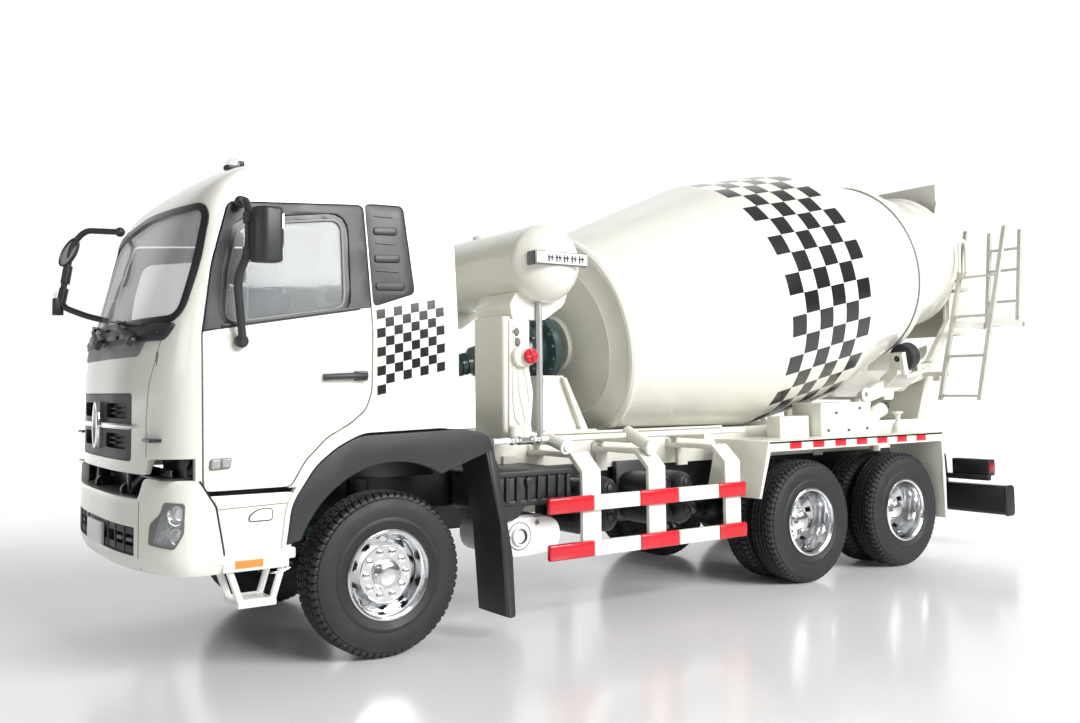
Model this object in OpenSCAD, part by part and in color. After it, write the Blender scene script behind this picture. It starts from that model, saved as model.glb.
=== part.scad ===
// Toy concrete mixer truck, 1:24, with a tilting cab, a turning drum and steered front wheels.
// The front of the truck faces -X, Z is up, and the tyres stand on Z = 0.
// Lengths along X are counted from the front axle, and whole() moves the model once
// so that its origin is under the middle of the truck.

/* [Overall] */
// Distance from the front axle to the front of the bumper
front_reach = 65.4; // [65:0.1:66]
// Distance from the front axle to the front of the kerb side mirror
mirror_reach = 67.6; // [67.4:0.1:69]
// Half width over the mirrors
mirror_half_w = 66; // [65.6:0.1:67]

/* [Wheels] */
// Outer radius of every tyre
tyre_r = 22.7; // [22:0.1:23]
// Inner radius of every tyre, where it sits on the rim
bead_r = 11.7; // [11:0.1:12.5]
// Distance from the front axle to the first rear axle
wheelbase = 173.3; // [172:0.1:176]
// Distance between the two rear axles
tandem = 57.5; // [56:0.1:60]
// Half width over the front tyres
front_half_w = 50.1; // [49:0.1:51]
// Half width over the rear tyres
rear_half_w = 51.4; // [50.5:0.1:52]
// Width of one front tyre
front_tyre_w = 12.5; // [11:0.1:13]
// Width of one rear tyre
rear_tyre_w = 11.5; // [11:0.1:12]

/* [Chassis] */
// Half width over the frame rails
rail_half_w = 18; // [17.5:0.1:18.5]
// Height of the top of the frame rails
rail_top = 48; // [47.5:0.1:48.5]
// Height of one frame rail
rail_h = 12; // [10:0.1:13]
// Height of the top of the mixer subframe
subframe_top = 57.4; // [56.5:0.1:57.5]
// Half width over the fenders, guards and steps
body_half_w = 52.6; // [52.4:0.1:53]

/* [Cab] */
// Half width of the cab at its waist
cab_half_w = 52.1; // [51.5:0.1:52.5]
// Distance from the front axle to the front of the cab
cab_front = 64.6; // [64:0.1:65]
// Distance from the front axle to the back wall of the cab
cab_back = 20.9; // [20:0.1:22]
// Height of the roof
roof_z = 135.6; // [135:0.1:136]
// Thickness of the cab's walls
cab_wall = 1.4; // [1.2:0.1:1.6]
// Gap around a door
door_gap = 0.5; // [0.45:0.05:0.6]

/* [Drum] */
// Tilt of the drum's axis, rear end up
drum_tilt = 11.66; // [11:0.01:12]
// Largest radius of the drum
drum_r = 51.1; // [50:0.1:51.5]
// Radius of the drum's front rim
drum_front_r = 37.5; // [36:0.1:38]
// Radius of the drum's mouth
mouth_r = 31.8; // [30:0.1:33]
// Thickness of the drum's wall
drum_wall = 1.5; // [1.2:0.1:2]
// Radius of one drum roller
roller_r = 6; // [5.5:0.1:6.5]

/* [Tank] */
// Radius of the water tank
tank_r = 12.1; // [11.5:0.1:12.5]
// Half length of the water tank's straight part
tank_half = 40; // [38:0.5:42]

/* [Hidden] */
$fn = 64;

ivory = [0.93, 0.91, 0.85];
charcoal = [0.15, 0.15, 0.16];
steel = [0.62, 0.63, 0.65];
teal = [0.16, 0.32, 0.31];
red = [0.78, 0.08, 0.1];
clear = [0.7, 0.78, 0.82, 0.4];

// The collector behind the drum's mouth is the rearmost piece.
rear_reach = 347;
// The chute swivels about a post; at rest it points to the right and slopes down.
swivel_x = 318;
post_r = 2.4;
chute_rest = 75;
chute_slope = 12;
chute_pin = [6, 85];       // in the chute's own frame, X from the post
chute_len = 48;
chute_back = 4;            // how far the trough reaches behind its pin
chute_low = 2;             // how far its underside hangs below the pin
x_mid = (rear_reach - mirror_reach) / 2;
post_x = [69.9, 97.3, 132.6];  // posts of the side guards
axle_2 = wheelbase;
axle_3 = wheelbase + tandem;
axle_z = tyre_r;
spindle_r = 2.2;
running = 0.05;            // radial clearance of a shaft in its bore
kingpin_y = 31;
kingpin_r = 1.5;
rail_low = rail_top - rail_h;
pivot = [-60, 47];         // cab hinge, X and Z
hinge_r = 1.2;

// The drum's own frame: origin at the centre of its front rim, Z along its axis to the mouth.
drum_origin = [98.7, 0, 91.4];
drum_cone_s = 67;          // end of the front cone
drum_barrel_s = 116.7;     // end of the straight barrel
track_s = 166.5;           // middle of the track ring
track_r = 41.2;
track_w = 5;
mouth_s = 208.6;
roller_gap = 0.3;
roller_angle = 33;

/* Helpers */

// Moves the model from the front axle to its own origin.
module whole() { translate([-x_mid, 0, 0]) children(); }

// Extrudes an outline given as [X, Z] points across the truck, from y0 to y1.
module across(points, y0, y1) {
    rotate([90, 0, 0]) translate([0, 0, -y1]) linear_extrude(y1 - y0) polygon(points);
}

// Extrudes an outline given as [Y, Z] points along the truck, from x0 to x1.
module along(points, x0, x1) {
    rotate([90, 0, 90]) translate([0, 0, x0]) linear_extrude(x1 - x0) polygon(points);
}

// The children, and their mirror image on the other side of the truck.
module both_sides() {
    children();
    mirror([0, 1, 0]) children();
}

// A box from its low corner to its high corner.
module block(low, high) { translate(low) cube(high - low); }

// A round bar from a to b.
module rod(a, b, r) {
    d = b - a;
    l = norm(d);
    translate(a) rotate([0, acos(d[2] / l), atan2(d[1], d[0])]) cylinder(h = l, r = r, $fn = 32);
}

// A round bar through a list of points, with round corners.
module bar(points, r) {
    for (i = [1 : len(points) - 1]) rod(points[i - 1], points[i], r);
    if (len(points) > 2)
        for (i = [1 : len(points) - 2]) translate(points[i]) sphere(r = 1.06 * r, $fn = 32);
}

// Points of an arc about [x, z].
function arc(x, z, r, a0, a1, n = 8) =
    [for (i = [0 : n]) let(a = a0 + (a1 - a0) * i / n) [x + r * cos(a), z + r * sin(a)]];

// Turns local Z into the outward Y of the left (-1) or the right (+1) side.
module wheel_place(x, side) {
    translate([x, 0, axle_z]) rotate([-90 * side, 0, 0]) children();
}

module on_drum_axis() { translate(drum_origin) rotate([0, 90 - drum_tilt, 0]) children(); }

/* Wheels */

// One tyre between z0 and z0 + w along the axle, with four ring grooves.
module tyre(z0, w) {
    shoulder = 3;
    translate([0, 0, z0]) difference() {
        rotate_extrude($fn = 96) polygon([
            [bead_r, 1], [bead_r + 1.2, 0.4], [bead_r + 5.5, 0], [tyre_r - 3.2, 0.3],
            [tyre_r - 1.1, 1.1], [tyre_r, shoulder - 0.6],
            [tyre_r, w - shoulder + 0.6], [tyre_r - 1.1, w - 1.1], [tyre_r - 3.2, w - 0.3],
            [bead_r + 5.5, w], [bead_r + 1.2, w - 0.4], [bead_r, w - 1]
        ]);
        for (g = [0.28, 0.43, 0.57, 0.72])
            translate([0, 0, w * g - 0.35]) difference() {
                cylinder(h = 0.7, r = tyre_r + 1, $fn = 96);
                translate([0, 0, -1]) cylinder(h = 3, r = tyre_r - 0.9, $fn = 96);
            }
    }
}

// Ten small studs on a circle.
module nuts(pcd_r, z, h) {
    for (i = [0 : 9])
        rotate([0, 0, 36 * i]) translate([pcd_r, 0, z]) cylinder(h = h, r = 0.75, $fn = 24);
}

module front_rim() {
    inner = front_half_w - front_tyre_w;
    difference() {
        union() {
            rotate_extrude($fn = 96) polygon([
                [0, inner + 0.4], [4.6, inner + 0.4], [4.6, front_half_w - 6],
                [8.2, front_half_w - 4.4], [10.9, front_half_w - 7.2], [10.9, inner + 1],
                [bead_r, inner + 1], [bead_r, front_half_w - 1], [12.2, front_half_w - 0.72],
                [12.2, front_half_w - 0.3], [11, front_half_w - 0.3], [10.6, front_half_w - 4],
                [8.2, front_half_w - 2.6], [4.4, front_half_w - 2.6], [4.4, front_half_w - 0.6],
                [3.6, front_half_w], [0, front_half_w]
            ]);
            nuts(6.3, front_half_w - 2.7, 1.3);
        }
        translate([0, 0, inner - 1]) cylinder(h = 9.5, r = spindle_r + running);
        for (i = [0 : 9])
            rotate([0, 0, 36 * i + 18]) translate([9.2, 0, inner + 3]) cylinder(h = 12, r = 0.95, $fn = 24);
    }
}

module rear_rims() {
    inner = rear_half_w - 2 * rear_tyre_w - 2;
    difference() {
        union() {
            rotate_extrude($fn = 96) polygon([
                [0, inner + 0.3], [6, inner + 0.3], [6, rear_half_w - 13],
                [10.9, rear_half_w - 13], [10.9, inner + 1], [bead_r, inner + 1],
                [bead_r, rear_half_w - 1], [12.2, rear_half_w - 0.72], [12.2, rear_half_w - 0.3],
                [11, rear_half_w - 0.3], [10.6, rear_half_w - 10], [8.4, rear_half_w - 11],
                [5, rear_half_w - 11], [5, rear_half_w - 6.5], [3.8, rear_half_w - 4],
                [3.8, rear_half_w - 2.4], [0, rear_half_w - 2.4]
            ]);
            nuts(6.8, rear_half_w - 11.1, 1.6);
        }
        translate([0, 0, inner - 1]) cylinder(h = 17, r = spindle_r + running);
    }
}

module dual_tyres() {
    tyre(rear_half_w - rear_tyre_w, rear_tyre_w);
    tyre(rear_half_w - 2 * rear_tyre_w - 2, rear_tyre_w);
}

module front_tyre() { tyre(front_half_w - front_tyre_w, front_tyre_w); }

module tyre_front_left() { color(charcoal) whole() wheel_place(0, -1) front_tyre(); }
module tyre_front_right() { color(charcoal) whole() wheel_place(0, 1) front_tyre(); }
module rim_front_left() { color(steel) whole() wheel_place(0, -1) front_rim(); }
module rim_front_right() { color(steel) whole() wheel_place(0, 1) front_rim(); }
module tyres_mid_left() { color(charcoal) whole() wheel_place(axle_2, -1) dual_tyres(); }
module tyres_mid_right() { color(charcoal) whole() wheel_place(axle_2, 1) dual_tyres(); }
module rims_mid_left() { color(steel) whole() wheel_place(axle_2, -1) rear_rims(); }
module rims_mid_right() { color(steel) whole() wheel_place(axle_2, 1) rear_rims(); }
module tyres_rear_left() { color(charcoal) whole() wheel_place(axle_3, -1) dual_tyres(); }
module tyres_rear_right() { color(charcoal) whole() wheel_place(axle_3, 1) dual_tyres(); }
module rims_rear_left() { color(steel) whole() wheel_place(axle_3, -1) rear_rims(); }
module rims_rear_right() { color(steel) whole() wheel_place(axle_3, 1) rear_rims(); }

/* Axles, springs and drive */

// Steering knuckle: kingpin, two ears, a plate and the wheel spindle.
module knuckle(side) {
    mirror([0, side < 0 ? 1 : 0, 0]) {
        translate([0, kingpin_y, 16.6]) cylinder(h = 12.2, r = kingpin_r);
        for (z = [16.6, 26.8])
            block([-2.2, kingpin_y - 2.2, z], [2.2, kingpin_y + 6, z + 2]);
        block([-2.8, kingpin_y + 4.4, 16.6], [2.8, kingpin_y + 6, 28.8]);
        rod([0, kingpin_y + 5.9, axle_z], [0, kingpin_y + 14.6, axle_z], spindle_r);
    }
}

module knuckle_left() { color(charcoal) whole() knuckle(-1); }
module knuckle_right() { color(charcoal) whole() knuckle(1); }

module front_axle_beam() color(charcoal) whole() difference() {
    union() {
        along([
            [-30, 19.5], [-24, 19], [-19, 15.5], [19, 15.5], [24, 19], [30, 19.5],
            [30, 25.5], [23, 25], [17.5, 20], [-17.5, 20], [-23, 25], [-30, 25.5]
        ], -1.7, 1.7);
        both_sides() translate([0, kingpin_y, 19]) cylinder(h = 7.4, r = 3);
    }
    both_sides() translate([0, kingpin_y, 15]) cylinder(h = 16, r = kingpin_r + running);
}

module rear_axle_housings() color(charcoal) whole() for (x = [axle_2, axle_3]) {
    rod([x, -25.6, axle_z], [x, 25.6, axle_z], 3.2);
    translate([x, 0, axle_z]) sphere(r = 7.6, $fn = 48);
    rod([x - 10, 0, axle_z + 1], [x, 0, axle_z + 1], 3.4);
    both_sides() rod([x, 25, axle_z], [x, rear_half_w - 9.8, axle_z], spindle_r);
}

// One curved leaf, t thick, whose ends stand rise above its middle.
module leaf(x, half, z, rise, t, y0, y1) {
    n = 12;
    low = [for (i = [0 : n]) let(u = 2 * i / n - 1) [x + half * u, z + rise * u * u]];
    high = [for (i = [n : -1 : 0]) let(u = 2 * i / n - 1) [x + half * u, z + t + rise * u * u]];
    across(concat(low, high), y0, y1);
}

module leaf_springs() color(charcoal) whole() {
    bogie_x = (axle_2 + axle_3) / 2;
    both_sides() {
        for (i = [0 : 3]) leaf(0, 25 - 5 * i, 23.2 - i, 4 * pow(1 - 0.2 * i, 2), 0.9, 13.2, 17);
        for (x = [-24.6, 24.6]) {
            rod([x, 12.6, 27.6], [x, 17.8, 27.6], 1.4);
            block([x - 1, 13.4, 28], [x + 1, 16.8, rail_low]);
        }
        for (i = [0 : 4]) leaf(bogie_x, 30 - 5 * i, 30 + i, -3.4 * pow(1 - 0.16 * i, 2), 0.9, 20, 24);
        block([bogie_x - 5, rail_half_w, 24], [bogie_x + 5, 19.8, rail_low + 2]);
        rod([bogie_x, rail_half_w, 27], [bogie_x, 25, 27], 2.6);
        block([bogie_x - 3, 20, 27], [bogie_x + 3, 24, 30]);
    }
}

module prop_shafts() color(steel) whole() {
    joints = [[47, 0, 40], [108, 0, 36], [axle_2 - 13.2, 0, axle_z + 1.4]];
    for (i = [1, 2]) {
        rod(joints[i - 1], joints[i], 1.7);
        translate(joints[i]) sphere(r = 2.6, $fn = 32);
    }
    rod([axle_2 + 7.7, 0, axle_z + 1], [axle_3 - 10.1, 0, axle_z + 1], 1.6);
    block([106, -11.9, 33.6], [110, -2, 38.4]);
    block([106, 2, 33.6], [110, 11.9, 38.4]);
}

module engine() color(teal) whole() {
    block([-22, -10.5, 36], [14, 10.5, 56]);
    block([-18, -8, 29], [10, 8, 36]);
    for (x = [-19 : 6.2 : 12]) block([x, -7, 56], [x + 4.6, 7, 58.8]);
    rod([-22, 0, 44], [-26, 0, 44], 9);
    rod([14, 0, 43], [24, 0, 42], 9.5);
    rod([24, 0, 42], [46, 0, 40], 6);
    both_sides() block([-12, 10.5, 44], [-4, 11.9, 50]);
}

/* Frame */

// Cross section of one C rail, open to the inside.
rail_section = [
    [rail_half_w, rail_low], [rail_half_w, rail_top], [rail_half_w - 5.4, rail_top],
    [rail_half_w - 5.4, rail_top - 1], [rail_half_w - 1, rail_top - 1],
    [rail_half_w - 1, rail_low + 1], [rail_half_w - 5.4, rail_low + 1],
    [rail_half_w - 5.4, rail_low]
];

module chassis_frame() color(charcoal) whole() {
    rail_x = [-50, 297];
    both_sides() along(rail_section, rail_x[0], rail_x[1]);
    for (x = [125, 150, 202, 262, 290])
        block([x - 2, 0.5 - rail_half_w, rail_low + 2], [x + 2, rail_half_w - 0.5, rail_top - 2]);
    // two flatter cross members over the propeller shaft
    for (x = [50, 76])
        block([x - 2, 0.5 - rail_half_w, rail_low + 6], [x + 2, rail_half_w - 0.5, rail_top - 2]);
    block([-55.7, -43.8, 37.3], [-49.3, 43.8, 45.3]);
    both_sides() {
        across([[-56.4, 44.7], [-62.5, 44.7], [-62.5, 48], [-61.4, 49.2], [-58.6, 49.2], [-53.6, 45.9],
                [-53.6, 42], [-55, 42]], 14.6, 16.6);
        rod([pivot[0], 14, pivot[1]], [pivot[0], 21.4, pivot[1]], hinge_r);
    }
}

module subframe() color(ivory) whole() {
    x0 = 42;
    x1 = 292;
    both_sides() {
        block([x0, rail_half_w, rail_top - 3], [x1, 20, subframe_top]);
        block([x0, 18.4, subframe_top], [x0 + 116, 20.8, subframe_top + 0.8]);
        for (x = [56 : 39 : 290]) block([x, 20, rail_top - 4], [x + 5, 21.2, rail_top + 3]);
        rod([58, 37.5, subframe_top - 0.4], [152, 37.5, subframe_top - 0.4], 1);
        for (x = post_x)
            block([x - 1.5, 20, subframe_top - 2.6], [x + 1.5, 38, subframe_top - 1]);
    }
    for (x = [x0, 64, 96])
        block([x, -18.4, rail_top], [x + 4, 18.4, rail_top + 3.4]);
    for (x = [140, 180, 225, 255])
        block([x, -18.4, rail_top], [x + 4, 18.4, rail_top + 2.4]);
    block([x1 - 6, -18.4, rail_top], [x1, 18.4, subframe_top]);
}

module front_pedestal() color(ivory) whole() difference() {
    union() {
        both_sides() across([[75, subframe_top], [98, subframe_top], [90, 76.4], [77.6, 76.4]], 13.4, 15.4);
        block([77.6, -15.4, 75], [90, 15.4, 77]);
        along([[-15.4, subframe_top], [15.4, subframe_top], [15.4, 77], [-15.4, 77]], 77.6, 79);
        both_sides() along([[15.4, subframe_top], [20, subframe_top], [15.4, 76]], 83, 84.6);
        block([75, -18.4, subframe_top], [98, 18.4, subframe_top + 1.2]);
        on_drum_axis() translate([0, 0, -15]) difference() {
            cylinder(h = 3, r = 13.4);
            translate([0, 0, -1]) cylinder(h = 5, r = 8.9);
        }
        across([[81.5, 77], [86.5, 77], [86, 79.5], [83, 79.5]], -12, 12);
    }
    translate([84, 0, 66]) rotate([0, 90, 0]) cylinder(h = 20, r = 6, center = true);
}

module drum_gearbox() color(teal) whole() on_drum_axis() {
    translate([0, 0, -19.6]) cylinder(h = 4.6, r = 8.6);
    translate([0, 0, -15]) cylinder(h = 5.4, r = 8.85);
    translate([0, 0, -26]) cylinder(h = 6.4, r = 6.6);
    translate([0, 0, -38]) cylinder(h = 12, r = 4.6);
    translate([0, 0, -48]) cylinder(h = 10, r = 3.2);
    translate([-3, -7, -36]) cube([6, 14, 7]);
    translate([0, 0, -9.6]) cylinder(h = 2, r = 4);
}

/* Water tank */

module tank_stand() color(ivory) whole() {
    tank_z = 113.2;
    both_sides() {
        difference() {
            block([46.6, 18, subframe_top + 1], [57, 36, 96]);
            block([48, 19.4, 60], [55.6, 34.6, 97]);
        }
        block([48, 17, subframe_top + 1], [56, 39.5, subframe_top + 1.9]);
    }
    difference() {
        across([[47, 96], [62, 96], [72, 103], [72, 106], [47.6, 106]], -36, 36);
        translate([60.8, 0, tank_z]) rotate([90, 0, 0]) cylinder(h = 90, r = tank_r + 0.02, center = true);
        block([49, -33, 90], [70, 33, 104]);
    }
    rod([59, -38, subframe_top + 0.8], [59, -38, 100.9], 1);
    rod([52, -36, 83], [52, -38.6, 83], 2.5);
    rod([52, -38.6, 83], [52, -40, 83], 2.1);
    rod([97, -46, 54], [97, -49, 54], 1.9);
    bar([[64, -39.6, 54.4], [64, -44, 54], [97, -44, 54], [97, -47, 54]], 0.9);
}

module water_tank() color(ivory) whole() translate([60.8, 0, 113.2]) {
    dome_h = 8.6;
    dome_r = (tank_r * tank_r + dome_h * dome_h) / (2 * dome_h);
    edge_a = asin(tank_r / dome_r);
    dome = [for (i = [0 : 10]) let(a = edge_a * i / 10)
        [dome_r * sin(a), tank_half + dome_h - dome_r * (1 - cos(a))]];
    rotate([90, 0, 0]) rotate_extrude($fn = 96)
        polygon(concat(dome, [for (i = [10 : -1 : 0]) [dome[i][0], -dome[i][1]]]));
    translate([0, 0, tank_r - 0.6]) cylinder(h = 2.6, r = 3);
    block([-9.6, -tank_half - 8.2, -1], [9.6, -tank_half - 4, 3.2]);
}

/* Boxes on the frame */

module battery_box() color(charcoal) whole() {
    block([36.4, -48, 36], [64, -21.2, 47]);
    for (x = [38.4 : 4 : 62]) block([x, -48.8, 36.6], [x + 1.8, -48, 46.4]);
    block([36, -49, 47], [64.4, -21.2, 48.2]);
    block([38, -44, 34.4], [62, -22, 36]);
    block([36.4, 21.2, 22], [92, 47, 46]);
    for (x = [42, 84]) block([x, 20, 21.2], [x + 2.4, 47.8, 46.8]);
}

module muffler() color(steel) whole() {
    hull() for (x = [44, 56]) rod([x, -22, 28], [x, -45, 28], 6.2);
    rod([46, -45, 28.6], [46, -48.6, 28.6], 3);
    for (x = [44, 56]) block([x - 1, -30, 34], [x + 1, -28, 34.5]);
}

module air_tanks() color(charcoal) whole() {
    for (x = [79, 113], z = [30, 39.6]) {
        rod([x - 4.9, -22, z], [x - 4.9, -43, z], 4.2);
        rod([x + 4.9, -22, z], [x + 4.9, -43, z], 4.2);
    }
    for (x = [79, 113]) block([x - 10, -22.4, 26], [x + 10, -20.2, 47]);
}

/* Front end */

// Distance of the front surface ahead of the front axle, at y, for a front of depth d.
function front_x(y, w, lead) = let(t = min(1, abs(y) / w)) -lead + 9 * pow(t, 2.95) + 6 * pow(t, 24);

// Plan outline of the cab's front, pulled in by o, with its back at x1.
function plan(w, lead, o, x1, n = 40) = concat(
    [for (i = [0 : n]) let(y = (w - o) * (2 * i / n - 1)) [front_x(y, w - o, lead - o), y]],
    [[x1, w - o], [x1, o - w]]
);

module plan_block(w, lead, o, x1, z0, z1) {
    translate([0, 0, z0]) linear_extrude(z1 - z0) polygon(plan(w, lead, o, x1));
}

module front_bumper() color(ivory) whole() difference() {
    w = 52.4;
    intersection() {
        plan_block(w, front_reach, 0, -40, 28.3, 52);
        across([[-64.4, 28.3], [-49.2, 28.3], [-50.4, 34], [-54.4, 51.4], [-58, 51.8], [-58.6, 46.4],
                [-66, 46.4], [-66, 31]], -53, 53);
    }
    difference() {
        plan_block(w, front_reach, 2.2, -40, 27, 53);
        block([-58.8, -46, 44.6], [-55, -40, 53]);
        block([-58.8, 40, 44.6], [-55, 46, 53]);
    }
    both_sides() across([[-70, 36], [-49.6, 36.6], [-51.4, 46], [-70, 45.4]], 41, 60);
    block([-70, -27, 32], [-58, 27, 39]);
    block([-70, -45, 46.4], [-50, 45, 56]);
}

module headlights() color(clear) whole() both_sides() intersection() {
    difference() {
        plan_block(52.2, front_reach - 0.2, 0, -40, 36.4, 45.2);
        plan_block(52.2, front_reach - 0.2, 2.6, -40, 36, 46);
    }
    across([[-70, 36.3], [-50, 36.9], [-51.6, 45.6], [-70, 45.1]], 41.3, 60);
}

module cab_steps() color(ivory) whole() both_sides() {
    across([[-48.9, 30.4], [-29.4, 30.4], [-29.4, 36], [-28.6, 47.4], [-51.6, 47.4]], 49.4, 51.4);
    block([-49, 30.4, 42], [-29.4, 49.4, 43.4]);
    block([-48.4, 38, 29], [-29.4, body_half_w, 30.4]);
    for (x = [-46, -32]) block([x - 1, 30.4, 30.4], [x + 1, 49.4, 42]);
    block([-48, 18, 43.4], [-44, 49.4, 45]);
    bar([[-41.8, 50, 29.6], [-39.6, 50, 20], [-34.8, 50, 20], [-32.6, 50, 29.6]], 0.9);
    bar([[-41.8, 43, 29.6], [-39.6, 43, 20], [-34.8, 43, 20], [-32.6, 43, 29.6]], 0.9);
    block([-40.4, 42.2, 19.2], [-34, 50.9, 20.4]);
}

// Outline of the arch over a front wheel: round inside, square behind the wheel.
arch_r = 30.7;
module wheel_arches() color(charcoal) whole() both_sides() {
    outer = [[-30, 36], [-27.6, 45], [-21.6, 53.4], [-16, 58], [-10, 60.8], [22, 61.8], [29.4, 60]];
    mud = [[31, 55], [34.2, 32], [37, 6], [35.4, 5.8], [32.6, 32], [29.4, 52]];
    inner = concat([[19.6, 53.4]], arc(0, axle_z, arch_r, 75, 154.5, 12));
    across(concat(outer, [[31, 55], [28.4, 53.4]], inner), 39, body_half_w);
    across(concat([[29.4, 55]], mud), 37, body_half_w);
    // bracket to the frame
    block([2, 17.9, 40], [8, 19.2, 57]);
    block([2, 17.9, 55.6], [8, 39.4, 57]);
}

/* Side guards and fenders */

module guard_posts() color(ivory) whole() both_sides() for (x = post_x) {
    along([
        [20, 51.2], [43.6, 51.2], [49.2, 46.4], [49.2, 20.8], [50.8, 20.8],
        [50.8, 47.2], [44.4, 52.8], [20, 52.8]
    ], x - 3.6, x + 3.6);
}

module guard_rails() color(red) whole() both_sides() for (z = [20.8, 34.9])
    block([52.2, 50.8, z], [137.6, body_half_w, z + 5]);

module rear_fenders() color(ivory) whole() both_sides() {
    deck_z = 53.4;
    // deck and side band
    block([149.4, 25, deck_z - 1.2], [255.6, body_half_w, deck_z]);
    block([149.4, body_half_w - 1.2, deck_z - 3.8], [255.6, body_half_w, deck_z - 1.2]);
    // slanted front plate and rear mud plate
    across([[143.8, 33.4], [145, 33.4], [150.6, deck_z], [149.2, deck_z]], 26, body_half_w);
    across([[255.6, deck_z - 0.2], [254.6, deck_z - 0.2], [255.9, 34], [256, 17.4], [257.2, 17.4],
            [257.2, 34]], 27, body_half_w);
    // brackets to the subframe
    for (x = [156, 200, 246]) block([x, 20, deck_z - 4], [x + 3, 25.4, deck_z - 1]);
    // deck box
    difference() {
        block([190, 28.2, deck_z], [221, 43, 66.4]);
        block([191.2, 29.4, deck_z + 1], [219.8, 41.8, 65.2]);
    }
    for (x = [194, 200, 206, 212]) rod([x, 43, 55.6], [x, 43.8, 55.6], 0.8);
}

module rear_bumper() color(charcoal) whole() {
    block([306, -50.6, 14], [312, 50.6, 27]);
    both_sides() across([[290, 38], [297.4, 46], [308, 40], [309.4, 27], [306.4, 27], [304.6, 36]], 18, 19.6);
    block([302, -44, 29.6], [304.4, 44, 31.6]);
    both_sides() block([302, 17, 31], [304.4, 19.8, 36]);
}

module tail_lamps() color(red) whole() both_sides() {
    block([303, 26, 31.6], [308.6, 44, 38.6]);
    for (y = [26.6, 32.4, 38.2]) block([308.6, y, 32.2], [309.4, y + 5.2, 38]);
}

/* Drum */

drum_outer = [
    [drum_front_r - 1.4, -0.8], [drum_front_r, 0.4], [drum_r, drum_cone_s],
    [drum_r, drum_barrel_s], [40.3, track_s], [mouth_r - 1.4, mouth_s - 6],
    [mouth_r - 1.4, mouth_s - 3.4], [mouth_r, mouth_s - 3.4], [mouth_r, mouth_s]
];
drum_inner = [
    [mouth_r - 2.8, mouth_s], [mouth_r - 2.8, mouth_s - 6], [40.3 - drum_wall, track_s],
    [drum_r - drum_wall, drum_barrel_s], [drum_r - drum_wall, drum_cone_s],
    [drum_front_r - drum_wall, 2], [30, -0.8], [8, -3.6], [0, -3.6]
];
drum_head = [[0, -7.4], [9.6, -7.4], [9.6, -5.4], [28, -2.8], [33.6, -1.2]];

module drum_shell() color(ivory) whole() on_drum_axis()
    rotate_extrude($fn = 128) polygon(concat(drum_head, drum_outer, drum_inner));

module track_ring() color(steel) whole() on_drum_axis() difference() {
    translate([0, 0, track_s - track_w / 2]) cylinder(h = track_w, r = track_r, $fn = 128);
    translate([0, 0, drum_barrel_s]) difference() {
        cylinder(h = track_s - drum_barrel_s, r1 = drum_r, r2 = 40.3, $fn = 128);
        translate([0, 0, -1]) cylinder(h = 1, r = 90);
    }
    translate([0, 0, track_s - 0.001])
        cylinder(h = mouth_s - 6 - track_s, r1 = 40.3, r2 = mouth_r - 1.4, $fn = 128);
}

// Places the roller of one side under the track ring, with local Z along the drum's axis.
module roller_place(side) {
    d = track_r + roller_r + roller_gap;
    on_drum_axis() translate([d * cos(roller_angle), side * d * sin(roller_angle), track_s]) children();
}

module drum_roller(side) roller_place(side) {
    translate([0, 0, -3]) cylinder(h = 6, r = roller_r);
    translate([0, 0, -6.4]) cylinder(h = 12.8, r = 1.5);
}

module drum_roller_left() { color(charcoal) whole() drum_roller(-1); }
module drum_roller_right() { color(charcoal) whole() drum_roller(1); }

module rear_pedestal() color(ivory) whole() {
    // two sloping side plates with a deck between them
    difference() {
        union() {
            both_sides() across([[244, subframe_top], [250, 65.4], [300, 78], [301, 84], [296, 84],
                                 [262, 75.4], [246, 70], [240, 61], [240, subframe_top]], 17.7, 20);
            across([[250, 66.6], [296, 79], [296, 80.4], [250, 68]], -20, 20);
            across([[286, subframe_top], [292, subframe_top], [300, 78], [294, 78]], -20, 20);
            both_sides() translate([247, 20, 69]) rotate([-90, 0, 0]) cylinder(h = 1.4, r = 3);
        }
        translate([247, 0, 69]) rotate([90, 0, 0]) cylinder(h = 60, r = 1.1, center = true);
        translate([290, 0, 68]) rotate([0, 90, 0]) cylinder(h = 40, r = 4.6, center = true);
    }
    // bearing blocks of the two rollers, on their brackets
    for (side = [-1, 1]) difference() {
        union() {
            roller_place(side) for (z = [-6.4, 3.4]) translate([-2.6, -3, z]) cube([10.8, 6, 3]);
            roller_place(side) translate([7, -5, -8]) cube([1.6, 10, 16]);
            roller_place(side) translate([8, side > 0 ? -9 : 3, -8]) cube([1.2, 6, 16]);
        }
        roller_place(side) translate([0, 0, -20]) cylinder(h = 40, r = 1.5 + running);
    }
    both_sides() along([[17.7, 70], [27, 78], [27, 79.6], [22, 79.6], [17.7, 76]], 262, 279);
    // socket for the post of the chute
    difference() {
        union() {
            across([[292, 59], [292, 66], [swivel_x, 67], [swivel_x, 60]], -3.6, 3.6);
            translate([swivel_x, 0, 59]) cylinder(h = 9, r = 5);
        }
        translate([swivel_x, 0, 61.9]) cylinder(h = 10, r = post_r + running);
    }
}

/* Hopper, chute and ladders */

funnel_top = 169;
funnel_low = 139.4;

// Funnel: one outline gives the slope of its front and back, the other that of its sides.
module funnel(grow) intersection() {
    across([
        [303 - grow, funnel_top + 9], [303 - grow, 162], [311 - grow, funnel_low],
        [325 + grow, funnel_low], [335 + grow, 162], [335 + grow, funnel_top + 9]
    ], -30, 30);
    along([
        [-22 - grow, funnel_top + 9], [-22 - grow, 160], [-11 - grow, funnel_low],
        [11 + grow, funnel_low], [22 + grow, 160], [22 + grow, funnel_top + 9]
    ], 290, 350);
}

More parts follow.
